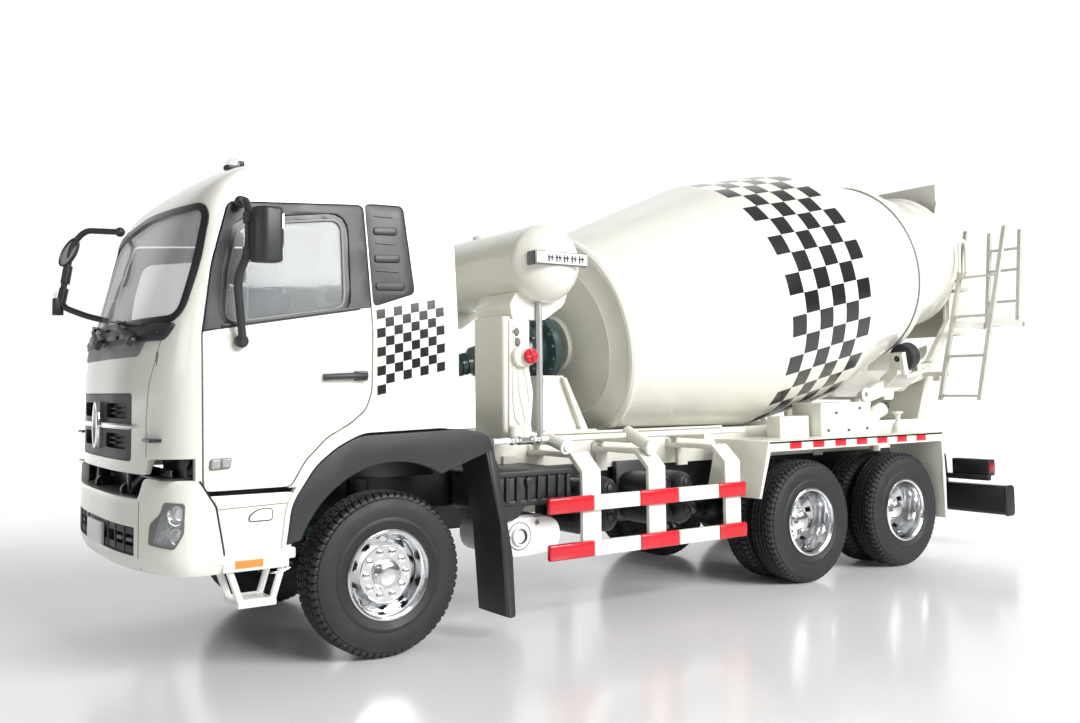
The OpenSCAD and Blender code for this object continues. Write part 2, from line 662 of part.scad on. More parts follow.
module hopper() color(ivory) whole() {
    difference() {
        funnel(0);
        funnel(-1.3);
        block([290, -40, funnel_top], [350, 40, funnel_top + 20]);
        block([300, -9.7, funnel_low - 1], [323.7, 9.7, funnel_low + 2]);
    }
    // collector behind the mouth, open towards the drum and at its foot
    difference() {
        across([[311, 141], [330, 141], [342, 139], [rear_reach, 134], [rear_reach, 122], [328, 97],
                [316, 97], [311, 104]], -20, 20);
        across([[300, 139.6], [330, 139.6], [341, 137.6], [rear_reach - 1.3, 133],
                [rear_reach - 1.3, 122.6], [326.6, 96], [300, 96]], -18.7, 18.7);
        block([305, -11.1, 139], [325.1, 11.1, 142]);
    }
    // posts from the rear pedestal
    both_sides() {
        across([[294, 84], [299, 84], [318, 105], [318, 138], [311.8, 138], [311.8, 104.4]], 19, 21.6);
    }
    // grab loop on the left
    bar([[313, -21, 122], [309.5, -31, 123], [307.4, -34, 126], [307.6, -34, 138.4],
         [305.2, -34, 140.8], [302.2, -34, 138.4], [301.8, -34, 125]], 0.7);
}

ladder_y = [30.8, 50];
ladder_low = [288.2, 66];
ladder_top = [313.8, 146];
function ladder_x(z) = let(t = (z - ladder_low[1]) / (ladder_top[1] - ladder_low[1]))
    ladder_low[0] + t * (ladder_top[0] - ladder_low[0]);
fold_hinge = [325.6, 101];

module rear_ladder() color(ivory) whole() difference() {
    union() {
        for (y = ladder_y)
            across([[ladder_x(66) - 0.9, 66], [ladder_x(66) + 0.9, 66], [ladder_x(146) + 0.9, 146],
                    [ladder_x(146) - 0.9, 146]], -y - 0.9, 0.9 - y);
        for (z = [68, 86, 104.4, 123])
            block([ladder_x(z) - 1.2, -ladder_y[1], z - 0.6], [ladder_x(z) + 1.2, -ladder_y[0], z + 0.6]);
        // arms to the hinge of the folding section
        for (y = ladder_y)
            across([[ladder_x(100) - 0.6, 99.4], [fold_hinge[0], 99.4], [fold_hinge[0] + 1.6, 101],
                    [fold_hinge[0], 102.6], [ladder_x(102) - 0.6, 102.6]], -y - 0.7, 0.7 - y);
        // stays to the pedestal and to the hopper's frame
        block([ladder_x(78) - 1, -ladder_y[0], 77], [ladder_x(78) + 3.4, -20, 79]);
        block([ladder_x(118) - 0.4, -31.4, 117], [313.6, -30.1, 118.6]);
        block([312, -31.4, 117], [313.6, -21.6, 118.6]);
    }
    for (y = ladder_y)
        translate([fold_hinge[0], 3 - y, fold_hinge[1]]) rotate([90, 0, 0])
            cylinder(h = 6, r = 0.8, $fn = 32);
}

module folding_ladder() color(ivory) whole() {
    for (y = [32.6, 47.9]) {
        across([[fold_hinge[0] - 1, 99.8], [fold_hinge[0] + 1, 99.8], [331.6, 146], [329.8, 146]],
               -y - 0.8, 0.8 - y);
    }
    for (z = [112, 127, 137]) let(x = fold_hinge[0] + (z - 100) * 0.11)
        block([x - 0.8, -48, z - 0.6], [x + 1.2, -32.6, z + 0.6]);
    rod([fold_hinge[0], -51.4, fold_hinge[1]], [fold_hinge[0], -29.2, fold_hinge[1]], 0.75);
}

// The chute's own frame: X along the chute from the post.
module chute_place() translate([swivel_x, 0, 0]) rotate([0, 0, chute_rest]) children();

// Swivelling bracket of the chute: a post, a collar and a fork.
module chute_bracket() color(ivory) whole() chute_place() {
    x = chute_pin[0];
    z = chute_pin[1];
    translate([0, 0, 62.3]) cylinder(h = 12.7, r = post_r);
    translate([0, 0, 68.5]) cylinder(h = 1.6, r = 4);
    both_sides() across([
        [-3, z - 12], [x, z - 12], [x + 3, z - 5], [x + 2.4, z + 2.4], [x - 2.4, z + 2.4],
        [x - 3, z - 5], [-3, z - 8]
    ], 9.9, 11.4);
    block([-3, -11.4, z - 12], [4, 11.4, z - 10]);
    rod([x, -11.8, z], [x, 11.8, z], 1);
}

// Half-round trough with two ears on its pin.
module chute() color(ivory) whole() chute_place() translate([chute_pin[0], 0, chute_pin[1]])
    rotate([0, 90 + chute_slope, 0]) difference() {
        trough_r = 9.4;
        axis_x = chute_low - trough_r;
        union() {
            intersection() {
                translate([axis_x, 0, -chute_back]) cylinder(h = chute_len, r = trough_r);
                translate([axis_x, -12, -chute_back - 1]) cube([24, 24, chute_len + 2]);
            }
            rotate([90, 0, 0]) cylinder(h = 19, r = 2.6, center = true);
        }
        translate([axis_x, 0, -chute_back - 1]) cylinder(h = chute_len + 2, r = trough_r - 1.2);
        rotate([90, 0, 0]) cylinder(h = 30, r = 1 + running, center = true);
    }

/* Cab */

// Outline of the cab from the side, pulled in by o.
function cab_side(o) = concat(
    [[-cab_front + o, 46], [-cab_front + o, 79], [-62.8 + o, 88], [-53.6 + 1.1 * o, 119]],
    arc(-36, roof_z - 17, 17 - o, 168, 95, 8),
    [[-20, roof_z - o], [14, roof_z - 0.6 - o]],
    arc(cab_back - 4, roof_z - 5, 4 - o, 80, 0, 4),
    [[cab_back - o, 46]]
);

// Outline of the cab from the front, pulled in by o.
function cab_section(o) = let(
    half = concat([[cab_half_w - o, 46], [cab_half_w - o, 88]],
                  arc(40.6 - o, roof_z - 8.8, 8, 4, 80, 8), [[20, roof_z - 0.2 - o]])
) concat(half, [for (i = [len(half) - 1 : -1 : 0]) [-half[i][0], half[i][1]]]);

// The cab as one block, pulled in by o on every side.
module cab_block(o) intersection() {
    plan_block(cab_half_w, cab_front, o, cab_back - o, 45, 140);
    across(cab_side(o), -60, 60);
    along(cab_section(o), -80, 40);
}

floor_z = 62.2;
door_outline = [
    [-51.2, 48.9], [-29.3, 48.9], [-25.6, 55.2], [-19.4, 61.2], [-12.6, 64.8], [-8.4, 68.2],
    [-6.6, 73], [-6.3, 90], [-8.3, 124], [-47.3, 119], [-51.2, 88]
];
window_outline = [[-45.7, 91.8], [-14.8, 96.2], [-14.4, 119.2], [-42.6, 115.8], [-44.6, 106]];
louvre_outline = [[-5.8, 96.4], [7.2, 100.6], [4.2, 125.2], [-7, 124.6]];
door_hinge = [-51.2, 51.9];
// The door opening: the door's outline grown by its gap.
module door_opening(y0, y1) rotate([90, 0, 0]) translate([0, 0, -y1])
    linear_extrude(y1 - y0) offset(delta = door_gap) polygon(door_outline);

windscreen_outline = [[-47.4, 90], [47.4, 90], [46.4, 121], [-46.4, 121]];
grille_outline = [[-29, 55.5], [29, 55.5], [29, 72.5], [-29, 72.5]];

module cab_shell() color(ivory) whole() difference() {
    union() {
        difference() {
            cab_block(0);
            // cabin above the floor, engine space below it
            intersection() {
                cab_block(cab_wall);
                union() {
                    block([-70, -60, floor_z + 1.3], [30, 60, 140]);
                    block([-70, -60, 40], [30, 60, floor_z]);
                }
            }
        }
        // hinge lugs
        both_sides() across(concat([[-56, floor_z + 0.4], [-61.4, floor_z + 0.4], [-61.4, 50]],
                                   arc(pivot[0], pivot[1], 2, 170, 350, 8), [[-57.6, 50]]), 17.6, 19.4);
    }
    // underside, wheel arches, doors and windows
    across([[-70, 40], [-70, 52.5], [-54.9, 52.5], [-51.6, 48.6], [-51.6, 40]], -60, 60);
    across([[-51.7, 40], [-51.7, 48.6], [30, 48.6], [30, 40]], -60, 60);
    across([[-28.6, 45], [-28.6, 45.7], [-22.5, 54], [-16.6, 58.7], [-10.3, 61.6], [30, 62.6],
            [30, 40]], -60, 60);
    both_sides() {
        door_opening(46.4, 60);
        across(louvre_outline, 45, 60);
        rod([pivot[0], 10, pivot[1]], [pivot[0], 24, pivot[1]], hinge_r + running);
    }
    along(windscreen_outline, -70, -44);
    along(grille_outline, -70, -60);
}

// The part of the cab's skin between depths o0 and o1.
module cab_skin(o0, o1) difference() {
    cab_block(o0);
    cab_block(o1);
}

module windscreen() color(clear) whole() intersection() {
    cab_skin(0.3, 1.2);
    along(windscreen_outline, -70, -44);
}

module front_grille() color(charcoal) whole() {
    intersection() {
        cab_skin(0.5, 1.4);
        along(grille_outline, -70, -60);
    }
    for (z = [58, 64, 70]) block([-cab_front + 0.2, -28, z - 0.5], [-cab_front + 1, 28, z + 0.5]);
}

module side_louvres() color(charcoal) whole() both_sides() intersection() {
    cab_skin(0.2, 1.4);
    across(louvre_outline, 40, 60);
}

// A door with the two barrels of its hinge at its front edge.
module door(side) mirror([0, side < 0 ? 1 : 0, 0]) {
    difference() {
        intersection() {
            cab_skin(0, 1.5);
            across(door_outline, 40, 60);
        }
        across(window_outline, 40, 60);
    }
    for (z = [53, 80]) translate([door_hinge[0], door_hinge[1], z]) cylinder(h = 4, r = 0.85, $fn = 32);
}

module door_glass(side) mirror([0, side < 0 ? 1 : 0, 0]) intersection() {
    cab_skin(0.3, 1);
    across(window_outline, 40, 60);
}

module door_left() { color(ivory) whole() door(-1); }
module door_right() { color(ivory) whole() door(1); }
module door_glass_left() { color(clear) whole() door_glass(-1); }
module door_glass_right() { color(clear) whole() door_glass(1); }

module cab_interior() color(charcoal) whole() {
    floor_top = floor_z + 1.3;
    // dashboard and column
    across([[-58.8, floor_top], [-53, floor_top], [-52, 76], [-55, 84], [-58.6, 84]], -39.5, 39.5);
    rod([-55, -24, 74], [-48.4, -24, 79.4], 1.6);
    // seats
    for (y = [-24, 24]) {
        block([-34, y - 9, floor_top], [-10, y + 9, 68]);
        block([-35, y - 10.4, 68], [-9, y + 10.4, 73]);
        across([[-12, 73], [-7, 73], [-3, 102], [-7, 102]], y - 10, y + 10);
    }
    // bunk
    block([4, -44, floor_top], [19, 44, 74]);
    block([-30, -10, floor_top], [-6, 10, 66]);
}

module steering_wheel() color(charcoal) whole() translate([-47.4, -24, 80.6]) rotate([0, 50, 0]) {
    rotate_extrude($fn = 64) translate([8, 0]) circle(r = 0.75, $fn = 24);
    for (a = [90, 210, 330]) rotate([0, 0, a]) rod([1, 0, 0], [7.7, 0, 0], 0.55);
    translate([0, 0, -0.9]) cylinder(h = 1.8, r = 2);
}

module wipers() color(charcoal) whole() for (y = [-24, 6]) {
    rod([-66, y, 84.4], [-64.4, y, 84.9], 0.9);
    bar([[-65, y, 84.7], [-63.6, y + 14, 89.2]], 0.4);
    bar([[-63.8, y - 4, 90.3], [-63.3, y + 14, 89.7], [-63.2, y + 30, 90.3]], 0.35);
}

module mirror_left() color(charcoal) whole() {
    translate([-42.8, -53.9, 86]) sphere(r = 1.7, $fn = 32);
    bar([[-42.8, -54.2, 86.6], [-45.2, -57, 102.6], [-43.2, -59.6, 108], [-43.2, -59.6, 117],
         [-42.4, -51, 119.4]], 0.9);
    // head, narrower towards the cab
    intersection() {
        along([[-60.6, 105.6], [-61.6, 104.8], [-64, 104.6], [-mirror_half_w, 106.4],
               [-mirror_half_w, 117.6], [-64, 119], [-61.6, 118.8], [-60.6, 118]], -43, -36);
        translate([0, 0, 100]) linear_extrude(22) polygon([
            [-42.6, -59.4], [-39.8, -60.4], [-36.8, -62.6], [-36.2, -66.5], [-40.6, -66.5], [-42.6, -64]
        ]);
    }
}

module mirror_right() color(charcoal) whole() {
    bar([[-52.6, 52, 97.4], [-64.6, 63, 102.4], [-60.8, 63.4, 124], [-57.6, 61, 128.6],
         [-49.6, 49.6, 126.7]], 0.9);
    translate([-62.4, 64, 120.6]) rotate([0, 34, 0]) hull() for (z = [-4, 4])
        translate([0, 0, z]) rotate([90, 0, 0]) cylinder(h = 2, r = 2.6, center = true, $fn = 32);
    block([-mirror_reach, 62, 99.4], [-63.4, mirror_half_w, 105]);
}

chassis_frame();
front_axle_beam();
rear_axle_housings();
leaf_springs();
prop_shafts();
engine();
subframe();
front_pedestal();
rear_pedestal();
drum_gearbox();
tank_stand();
water_tank();
battery_box();
muffler();
air_tanks();
front_bumper();
headlights();
cab_steps();
wheel_arches();
guard_posts();
guard_rails();
rear_fenders();
rear_bumper();
tail_lamps();
hopper();
rear_ladder();
folding_ladder();
chute_bracket();
chute();
drum_roller_left();
drum_roller_right();
drum_shell();
track_ring();
knuckle_left();
knuckle_right();
tyre_front_left();
tyre_front_right();
rim_front_left();
rim_front_right();
tyres_mid_left();
tyres_mid_right();
rims_mid_left();
rims_mid_right();
tyres_rear_left();
tyres_rear_right();
rims_rear_left();
rims_rear_right();
cab_shell();
windscreen();
front_grille();
cab_interior();
steering_wheel();
wipers();
side_louvres();
door_left();
door_right();
door_glass_left();
door_glass_right();
mirror_left();
mirror_right();
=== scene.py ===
"""Toy concrete mixer truck: its looks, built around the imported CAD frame."""
import math

import bmesh
import bpy
from mathutils import Matrix, Vector


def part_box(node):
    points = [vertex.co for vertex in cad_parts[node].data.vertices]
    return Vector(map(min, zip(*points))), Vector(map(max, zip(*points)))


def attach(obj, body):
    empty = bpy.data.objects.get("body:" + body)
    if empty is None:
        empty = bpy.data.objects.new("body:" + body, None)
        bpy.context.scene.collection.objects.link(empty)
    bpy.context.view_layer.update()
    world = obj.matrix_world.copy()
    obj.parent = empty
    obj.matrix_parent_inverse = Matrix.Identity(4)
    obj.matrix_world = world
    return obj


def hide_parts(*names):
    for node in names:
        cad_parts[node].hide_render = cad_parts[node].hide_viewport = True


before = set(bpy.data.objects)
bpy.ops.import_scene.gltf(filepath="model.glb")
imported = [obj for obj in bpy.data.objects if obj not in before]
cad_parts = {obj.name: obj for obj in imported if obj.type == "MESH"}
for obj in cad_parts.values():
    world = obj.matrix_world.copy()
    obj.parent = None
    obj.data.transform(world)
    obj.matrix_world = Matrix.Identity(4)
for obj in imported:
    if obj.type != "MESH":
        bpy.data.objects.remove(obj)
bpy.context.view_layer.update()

scene = bpy.context.scene

# ---------------------------------------------------------------- Sizes
# Shapes are written in millimetres, with X counted from the front axle, as the CAD does.
MM = 0.001
_front_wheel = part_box("rim_front_left")
FRONT_AXLE_X = (_front_wheel[0].x + _front_wheel[1].x) / 2
AXLE_Z = (_front_wheel[0].z + _front_wheel[1].z) / 2 / MM


def centre_x(node):
    low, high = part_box(node)
    return ((low.x + high.x) / 2 - FRONT_AXLE_X) / MM


AXLES = [0.0, centre_x("rims_mid_left"), centre_x("rims_rear_left")]
FRONT_HALF_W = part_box("tyre_front_right")[1].y / MM
REAR_HALF_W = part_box("tyres_mid_right")[1].y / MM
TYRE_R = AXLE_Z
CAB_W = 52.1            # half width of the cab
CAB_FRONT = -64.6       # front of the cab
CAB_BACK = 20.9
ROOF_Z = 135.6
CAB_WALL = 1.4
BUMPER_FRONT = -65.4
BUMPER_W = 52.4
DRUM_TILT = math.radians(11.66)
DRUM_ORIGIN = (98.7, 0, 91.4)
CAMERA_YAW = 35.2       # degrees to the right of +Y
TO_METRES = Matrix.Translation((FRONT_AXLE_X, 0, 0)) @ Matrix.Scale(MM, 4)


# ---------------------------------------------------------------- Materials
class Surface:
    """A node material around one Principled shader."""

    def __init__(self, name):
        self.material = bpy.data.materials.new(name)
        self.material.use_nodes = True
        self.nodes, self.links = self.material.node_tree.nodes, self.material.node_tree.links
        self.nodes.clear()
        output = self.nodes.new("ShaderNodeOutputMaterial")
        self.shader = self.nodes.new("ShaderNodeBsdfPrincipled")
        self.links.new(self.shader.outputs[0], output.inputs[0])
        self.place = self.nodes.new("ShaderNodeTexCoord").outputs["Object"]

    def node(self, kind, inputs=(), **settings):
        node = self.nodes.new("ShaderNode" + kind)
        for key, value in settings.items():
            setattr(node, key, value)
        for key, value in dict(inputs).items():
            self.feed(node.inputs[key], value)
        return node

    def feed(self, socket, value):
        if isinstance(value, bpy.types.NodeSocket):
            self.links.new(value, socket)
        else:
            socket.default_value = value

    def math(self, operation, a, b=0.0, c=0.0):
        return self.node("Math", {0: a, 1: b, 2: c}, operation=operation).outputs[0]

    def noise(self, scale, detail=2.0, roughness=0.5, vector=None):
        inputs = {"Vector": vector or self.place, "Scale": scale, "Detail": detail, "Roughness": roughness}
        return self.node("TexNoise", inputs).outputs[0]

    def between(self, value, low, high, start=0.3, end=0.7):
        """value, from start to end, taken to low to high."""
        inputs = {0: value, 1: start, 2: end, 3: low, 4: high}
        return self.node("MapRange", inputs).outputs[0]

    def mix(self, factor, a, b):
        node = self.nodes.new("ShaderNodeMix")
        node.data_type = "RGBA"
        self.feed(node.inputs[0], factor)
        self.feed(node.inputs[6], a)
        self.feed(node.inputs[7], b)
        return node.outputs[2]

    def set(self, **values):
        for key, value in values.items():
            self.feed(self.shader.inputs[key.replace("_", " ")], value)
        return self

    def bump(self, height, distance, strength=1.0, edge=0.0):
        """Relief of height times distance, over edges rounded in the shading by edge metres."""
        inputs = {"Height": height, "Distance": distance, "Strength": strength}
        if edge:
            inputs["Normal"] = self.node("Bevel", {"Radius": edge}, samples=4).outputs[0]
        self.set(Normal=self.node("Bump", inputs).outputs[0])
        return self


def shade(color, factor):
    return (*[c * factor for c in color[:3]], 1)


def finish(name, color, rough, vary=0.06, grain=1800, relief=0.004, edge=0.0, **values):
    """A painted or moulded surface: a slow drift of colour and gloss, a fine grain and soft edges."""
    surface = Surface(name)
    drift = surface.noise(28, 3)
    surface.set(
        Base_Color=surface.mix(surface.between(drift, 0, 1), shade(color, 1 - vary), shade(color, 1 + vary)),
        Roughness=surface.between(surface.noise(90, 4), rough * 0.85, rough * 1.2),
        **values,
    )
    surface.bump(surface.noise(grain, 3), relief * MM, 0.6, edge)
    return surface


IVORY = (0.835, 0.825, 0.745)
CHARCOAL = (0.022, 0.024, 0.026)


# dim darkens the ivory; the ladders use it to paint their shade
def paint_ivory(name, edge=0.0, dim=1.0):
    return finish(name, shade(IVORY, dim), 0.22, 0.03, 700, 0.006, edge, Coat_Weight=0.5, Coat_Roughness=0.06)


def with_checks(surface, column, row, inside):
    """Paints black squares where column and row are both even or both odd, within inside."""
    odd = surface.math("MODULO", surface.math("ADD", column, row), 2.0)
    dark = surface.math("MULTIPLY", surface.math("LESS_THAN", odd, 0.5), inside)
    paint = surface.shader.inputs["Base Color"].links[0].from_socket
    surface.set(Base_Color=surface.mix(dark, paint, (0.012, 0.012, 0.013, 1)))
    return surface


def all_true(surface, *tests):
    result = tests[0]
    for test in tests[1:]:
        result = surface.math("MULTIPLY", result, test)
    return result


def cab_paint():
    """Ivory, with a sheared block of checks on both sides behind the door."""
    cell_w, cell_h, slope = 2.65 * MM, 2.6 * MM, 0.2
    left, top = FRONT_AXLE_X - 4.8 * MM, 95.3 * MM
    surface = paint_ivory("cab_paint")
    x, y, z = surface.node("SeparateXYZ", {0: surface.place}).outputs
    across = surface.math("SUBTRACT", x, left)
    down = surface.math("SUBTRACT", surface.math("MULTIPLY_ADD", across, slope, top), z)
    column = surface.math("FLOOR", surface.math("DIVIDE", across, cell_w))
    row = surface.math("FLOOR", surface.math("DIVIDE", down, cell_h))
    last_row = surface.math("MULTIPLY_ADD", surface.math("COMPARE", column, 0.0, 0.1), 1.0, 7.5)
    inside = all_true(
        surface,
        surface.math("GREATER_THAN", column, -0.5), surface.math("LESS_THAN", column, 7.5),
        surface.math("GREATER_THAN", row, -0.5), surface.math("LESS_THAN", row, last_row),
        surface.math("GREATER_THAN", surface.math("ABSOLUTE", y), 0.05),
    )
    return with_checks(surface, column, row, inside).material


def drum_paint():
    """Ivory, with a band of checks round the barrel, six squares wide and forty round."""
    cell, band_start, turn = 8.0 * MM, 67.5 * MM, math.radians(9)
    surface = paint_ivory("drum_paint")
    origin = (FRONT_AXLE_X + DRUM_ORIGIN[0] * MM, 0, DRUM_ORIGIN[2] * MM)
    axis = (math.cos(DRUM_TILT), 0, math.sin(DRUM_TILT))
    down = (math.sin(DRUM_TILT), 0, -math.cos(DRUM_TILT))
    local = surface.node("VectorMath", {0: surface.place, 1: origin}, operation="SUBTRACT").outputs[0]
    along = surface.node("VectorMath", {0: local, 1: axis}, operation="DOT_PRODUCT").outputs["Value"]
    low = surface.node("VectorMath", {0: local, 1: down}, operation="DOT_PRODUCT").outputs["Value"]
    side = surface.node("SeparateXYZ", {0: local}).outputs[1]
    angle = surface.math("ARCTAN2", side, low)
    column = surface.math("FLOOR", surface.math("DIVIDE", surface.math("SUBTRACT", along, band_start), cell))
    start = math.radians(-38)
    row = surface.math("FLOOR", surface.math("DIVIDE", surface.math("SUBTRACT", start, angle), turn))
    row = surface.math("ADD", row, 80.0)
    inside = all_true(
        surface,
        surface.math("GREATER_THAN", column, -0.5), surface.math("LESS_THAN", column, 5.5),
    )
    return with_checks(surface, column, row, inside).material


def tyre_rubber():
    """Dark rubber, a little dusty, with a fine grain."""
    surface = Surface("tyre_rubber")
    dust = surface.noise(55, 5, 0.7)
    surface.set(
        Base_Color=surface.mix(surface.between(dust, 0, 1), (0.012, 0.0135, 0.015, 1),
                               (0.024, 0.026, 0.029, 1)),
        Roughness=surface.between(surface.noise(160, 3), 0.46, 0.62),
        Specular_IOR_Level=0.45,
    )
    surface.bump(surface.noise(2600, 4), 0.02 * MM, 0.5)
    return surface.material


def chrome(name="chrome_rim", color=(0.86, 0.87, 0.88), rough=0.14):
    surface = Surface(name)
    surface.set(
        Base_Color=surface.mix(surface.between(surface.noise(120, 3), 0, 1), shade(color, 0.93),
                               shade(color, 1.0)),
        Metallic=1.0,
        Roughness=surface.between(surface.noise(300, 4), rough * 0.7, rough * 1.5),
    )
    surface.bump(surface.noise(1500, 2), 0.002 * MM, 0.4)
    return surface.material


def glass(name, color=(0.8, 0.84, 0.86), alpha=0.16, rough=0.04):
    """Thin clear plastic with a faint milky drift."""
    surface = Surface(name)
    surface.set(
        Base_Color=surface.mix(surface.between(surface.noise(30, 2), 0, 1), shade(color, 0.9),
                               shade(color, 1.05)),
        Roughness=surface.between(surface.noise(80, 2), rough, rough * 2),
        Alpha=alpha, Specular_IOR_Level=0.8, Coat_Weight=1.0,
    )
    surface.bump(surface.noise(60, 1), 0.01 * MM, 0.3)
    return surface.material


def mesh_weave():
    """Black honeycomb-like mesh behind the grille openings."""
    surface = Surface("grille_mesh")
    cells = surface.node("TexVoronoi", {"Vector": surface.place, "Scale": 620.0, "Randomness": 0.15},
                         feature="DISTANCE_TO_EDGE").outputs[0]
    wire = surface.between(cells, 1, 0, 0.06, 0.14)
    surface.set(Base_Color=surface.mix(wire, (0.004, 0.004, 0.005, 1), (0.06, 0.062, 0.066, 1)),
                Roughness=0.4)
    surface.bump(wire, 0.25 * MM, 0.8)
    return surface.material


def floor_finish():
    """A pale, slightly glossy table top with a painted glow that rises with distance towards the backdrop, so
    that it fades into the white backdrop far from the truck.
    """
    surface = Surface("pale_floor")
    yaw = math.radians(CAMERA_YAW)
    # away: distance towards the backdrop, which drives the floor's emission, a painted glow
    away = surface.node("VectorMath", {0: surface.place, 1: (math.sin(yaw), math.cos(yaw), 0)},
                        operation="DOT_PRODUCT").outputs["Value"]
    surface.set(Base_Color=surface.mix(surface.between(surface.noise(3, 3), 0, 1), (0.87, 0.87, 0.875, 1),
                                       (0.9, 0.9, 0.905, 1)),
                Roughness=surface.between(surface.noise(14, 4), 0.14, 0.24), Specular_IOR_Level=0.6,
                Emission_Color=(1, 1, 1, 1), Emission_Strength=surface.between(away, 0, 1, 0, 1.1))
    surface.bump(surface.noise(9, 2), 0.4 * MM, 0.25)
    return surface


EDGE = 0.0003
MATERIALS = {
    "floor": floor_finish().material,
    "ivory": paint_ivory("ivory_paint").material,
    "ivory_cad": paint_ivory("ivory_paint_edges", EDGE).material,
    "cab": cab_paint(),
    "drum": drum_paint(),
    "charcoal": finish("charcoal_plastic", CHARCOAL, 0.42, 0.12, 2200, 0.01).material,
    "black": finish("black_frame", (0.012, 0.013, 0.015), 0.32, 0.2, 1500, 0.008).material,
    "black_cad": finish("black_frame_edges", (0.014, 0.015, 0.018), 0.32, 0.2, 1500, 0.008, EDGE).material,
    "teal": finish("teal_paint", (0.04, 0.075, 0.075), 0.3, 0.15, 900, 0.01, EDGE, Coat_Weight=0.3).material,
    "steel": finish("brushed_steel", (0.62, 0.62, 0.6), 0.28, 0.06, 2500, 0.004, EDGE, Metallic=1.0).material,
    "white_metal": finish("bright_white_paint", (0.86, 0.86, 0.84), 0.25, 0.02, 900, 0.004, EDGE).material,
    # the ladders' ivory darkened to 0.72: painted shade
    "ladder": paint_ivory("ladder_painted_shade", EDGE, 0.72).material,
    "pole": finish("pole_metal", (0.5, 0.5, 0.52), 0.35, 0.03, 900, 0.004, EDGE, Metallic=0.6).material,
    "tyre": tyre_rubber(),
    "chrome": chrome(),
    "mirror": chrome("mirror_face", (0.92, 0.93, 0.94), 0.05),
    "glass": glass("clear_glass"),
    "screen": glass("windscreen_glass", (0.86, 0.87, 0.87), 0.36),
    "lens": glass("lamp_lens", (0.86, 0.88, 0.9), 0.35, 0.03),
    "red": finish("red_plastic", (0.62, 0.012, 0.025), 0.24, 0.08, 1200, 0.004, EDGE,
                  Coat_Weight=0.4).material,
    "dark_red": finish("tail_lens", (0.28, 0.008, 0.012), 0.16, 0.1, 1600, 0.01, EDGE,
                       Coat_Weight=0.6).material,
    "orange": finish("orange_reflector", (0.9, 0.27, 0.05), 0.3, 0.1, 2400, 0.02).material,
    "mesh": mesh_weave(),
    "trim_grey": finish("grey_trim", (0.17, 0.17, 0.165), 0.4, 0.08, 1500, 0.01).material,
    "seat": finish("interior_plastic", (0.2, 0.195, 0.185), 0.6, 0.12, 1300, 0.05, EDGE).material,
    "plate": finish("label_plate", (0.8, 0.8, 0.79), 0.3, 0.04, 900, 0.004).material,
}


# ---------------------------------------------------------------- Mesh building
def rounded(points, radius, steps=5, closed=True):
    """An outline with its corners rounded by up to radius."""
    result, n = [], len(points)
    for i, corner in enumerate(points):
        corner = Vector(corner)
        if not closed and i in (0, n - 1):
            result.append(corner)
            continue
        a, b = Vector(points[i - 1]) - corner, Vector(points[(i + 1) % n]) - corner
        reach = min(radius, a.length * 0.48, b.length * 0.48)
        start, end = corner + a.normalized() * reach, corner + b.normalized() * reach
        for k in range(steps + 1):
            t = k / steps
            result.append(start * (1 - t) ** 2 + corner * 2 * t * (1 - t) + end * t * t)
    return result


def oval(x, z, rx, rz, n=32):
    return [(x + rx * math.cos(2 * math.pi * k / n),
             z + rz * math.sin(2 * math.pi * k / n)) for k in range(n)]


def rectangle(x0, z0, x1, z1, radius=0.0):
    corners = [(x0, z0), (x1, z0), (x1, z1), (x0, z1)]
    return rounded(corners, radius) if radius else corners


def on_side(s, a, z0, b, z1, radius=0.0):
    """A rectangle reaching from a to b on side s of the middle."""
    low, high = sorted((s * a, s * b))
    return rectangle(low, z0, high, z1, radius)


def grown(outline, distance):
    """An outline, given anticlockwise, moved outwards by distance."""
    points = [Vector(p) for p in outline]
    moved = []
    for i, p in enumerate(points):
        a, b = (p - points[i - 1]).normalized(), (points[(i + 1) % len(points)] - p).normalized()
        normal = Vector((a.y + b.y, -a.x - b.x)).normalized()
        moved.append(p + normal * distance / max(0.4, normal.dot(Vector((a.y, -a.x)))))
    return moved


def clipped(outline, line, above):
    """The part of an outline above, or below, the height that line gives at each place."""
    def gap(p):
        return (p[1] - line(p[0])) * (1 if above else -1)
    kept = []
    for p, q in zip(outline, outline[1:] + outline[:1]):
        if gap(p) >= 0:
            kept.append((p[0], p[1]))
        if gap(p) * gap(q) < 0:
            t = gap(p) / (gap(p) - gap(q))
            kept.append((p[0] + (q[0] - p[0]) * t, p[1] + (q[1] - p[1]) * t))
    return kept


def at(x, y, z):
    return Matrix.Translation((x, y, z))


def turned(degrees, axis):
    return Matrix.Rotation(math.radians(degrees), 4, axis)


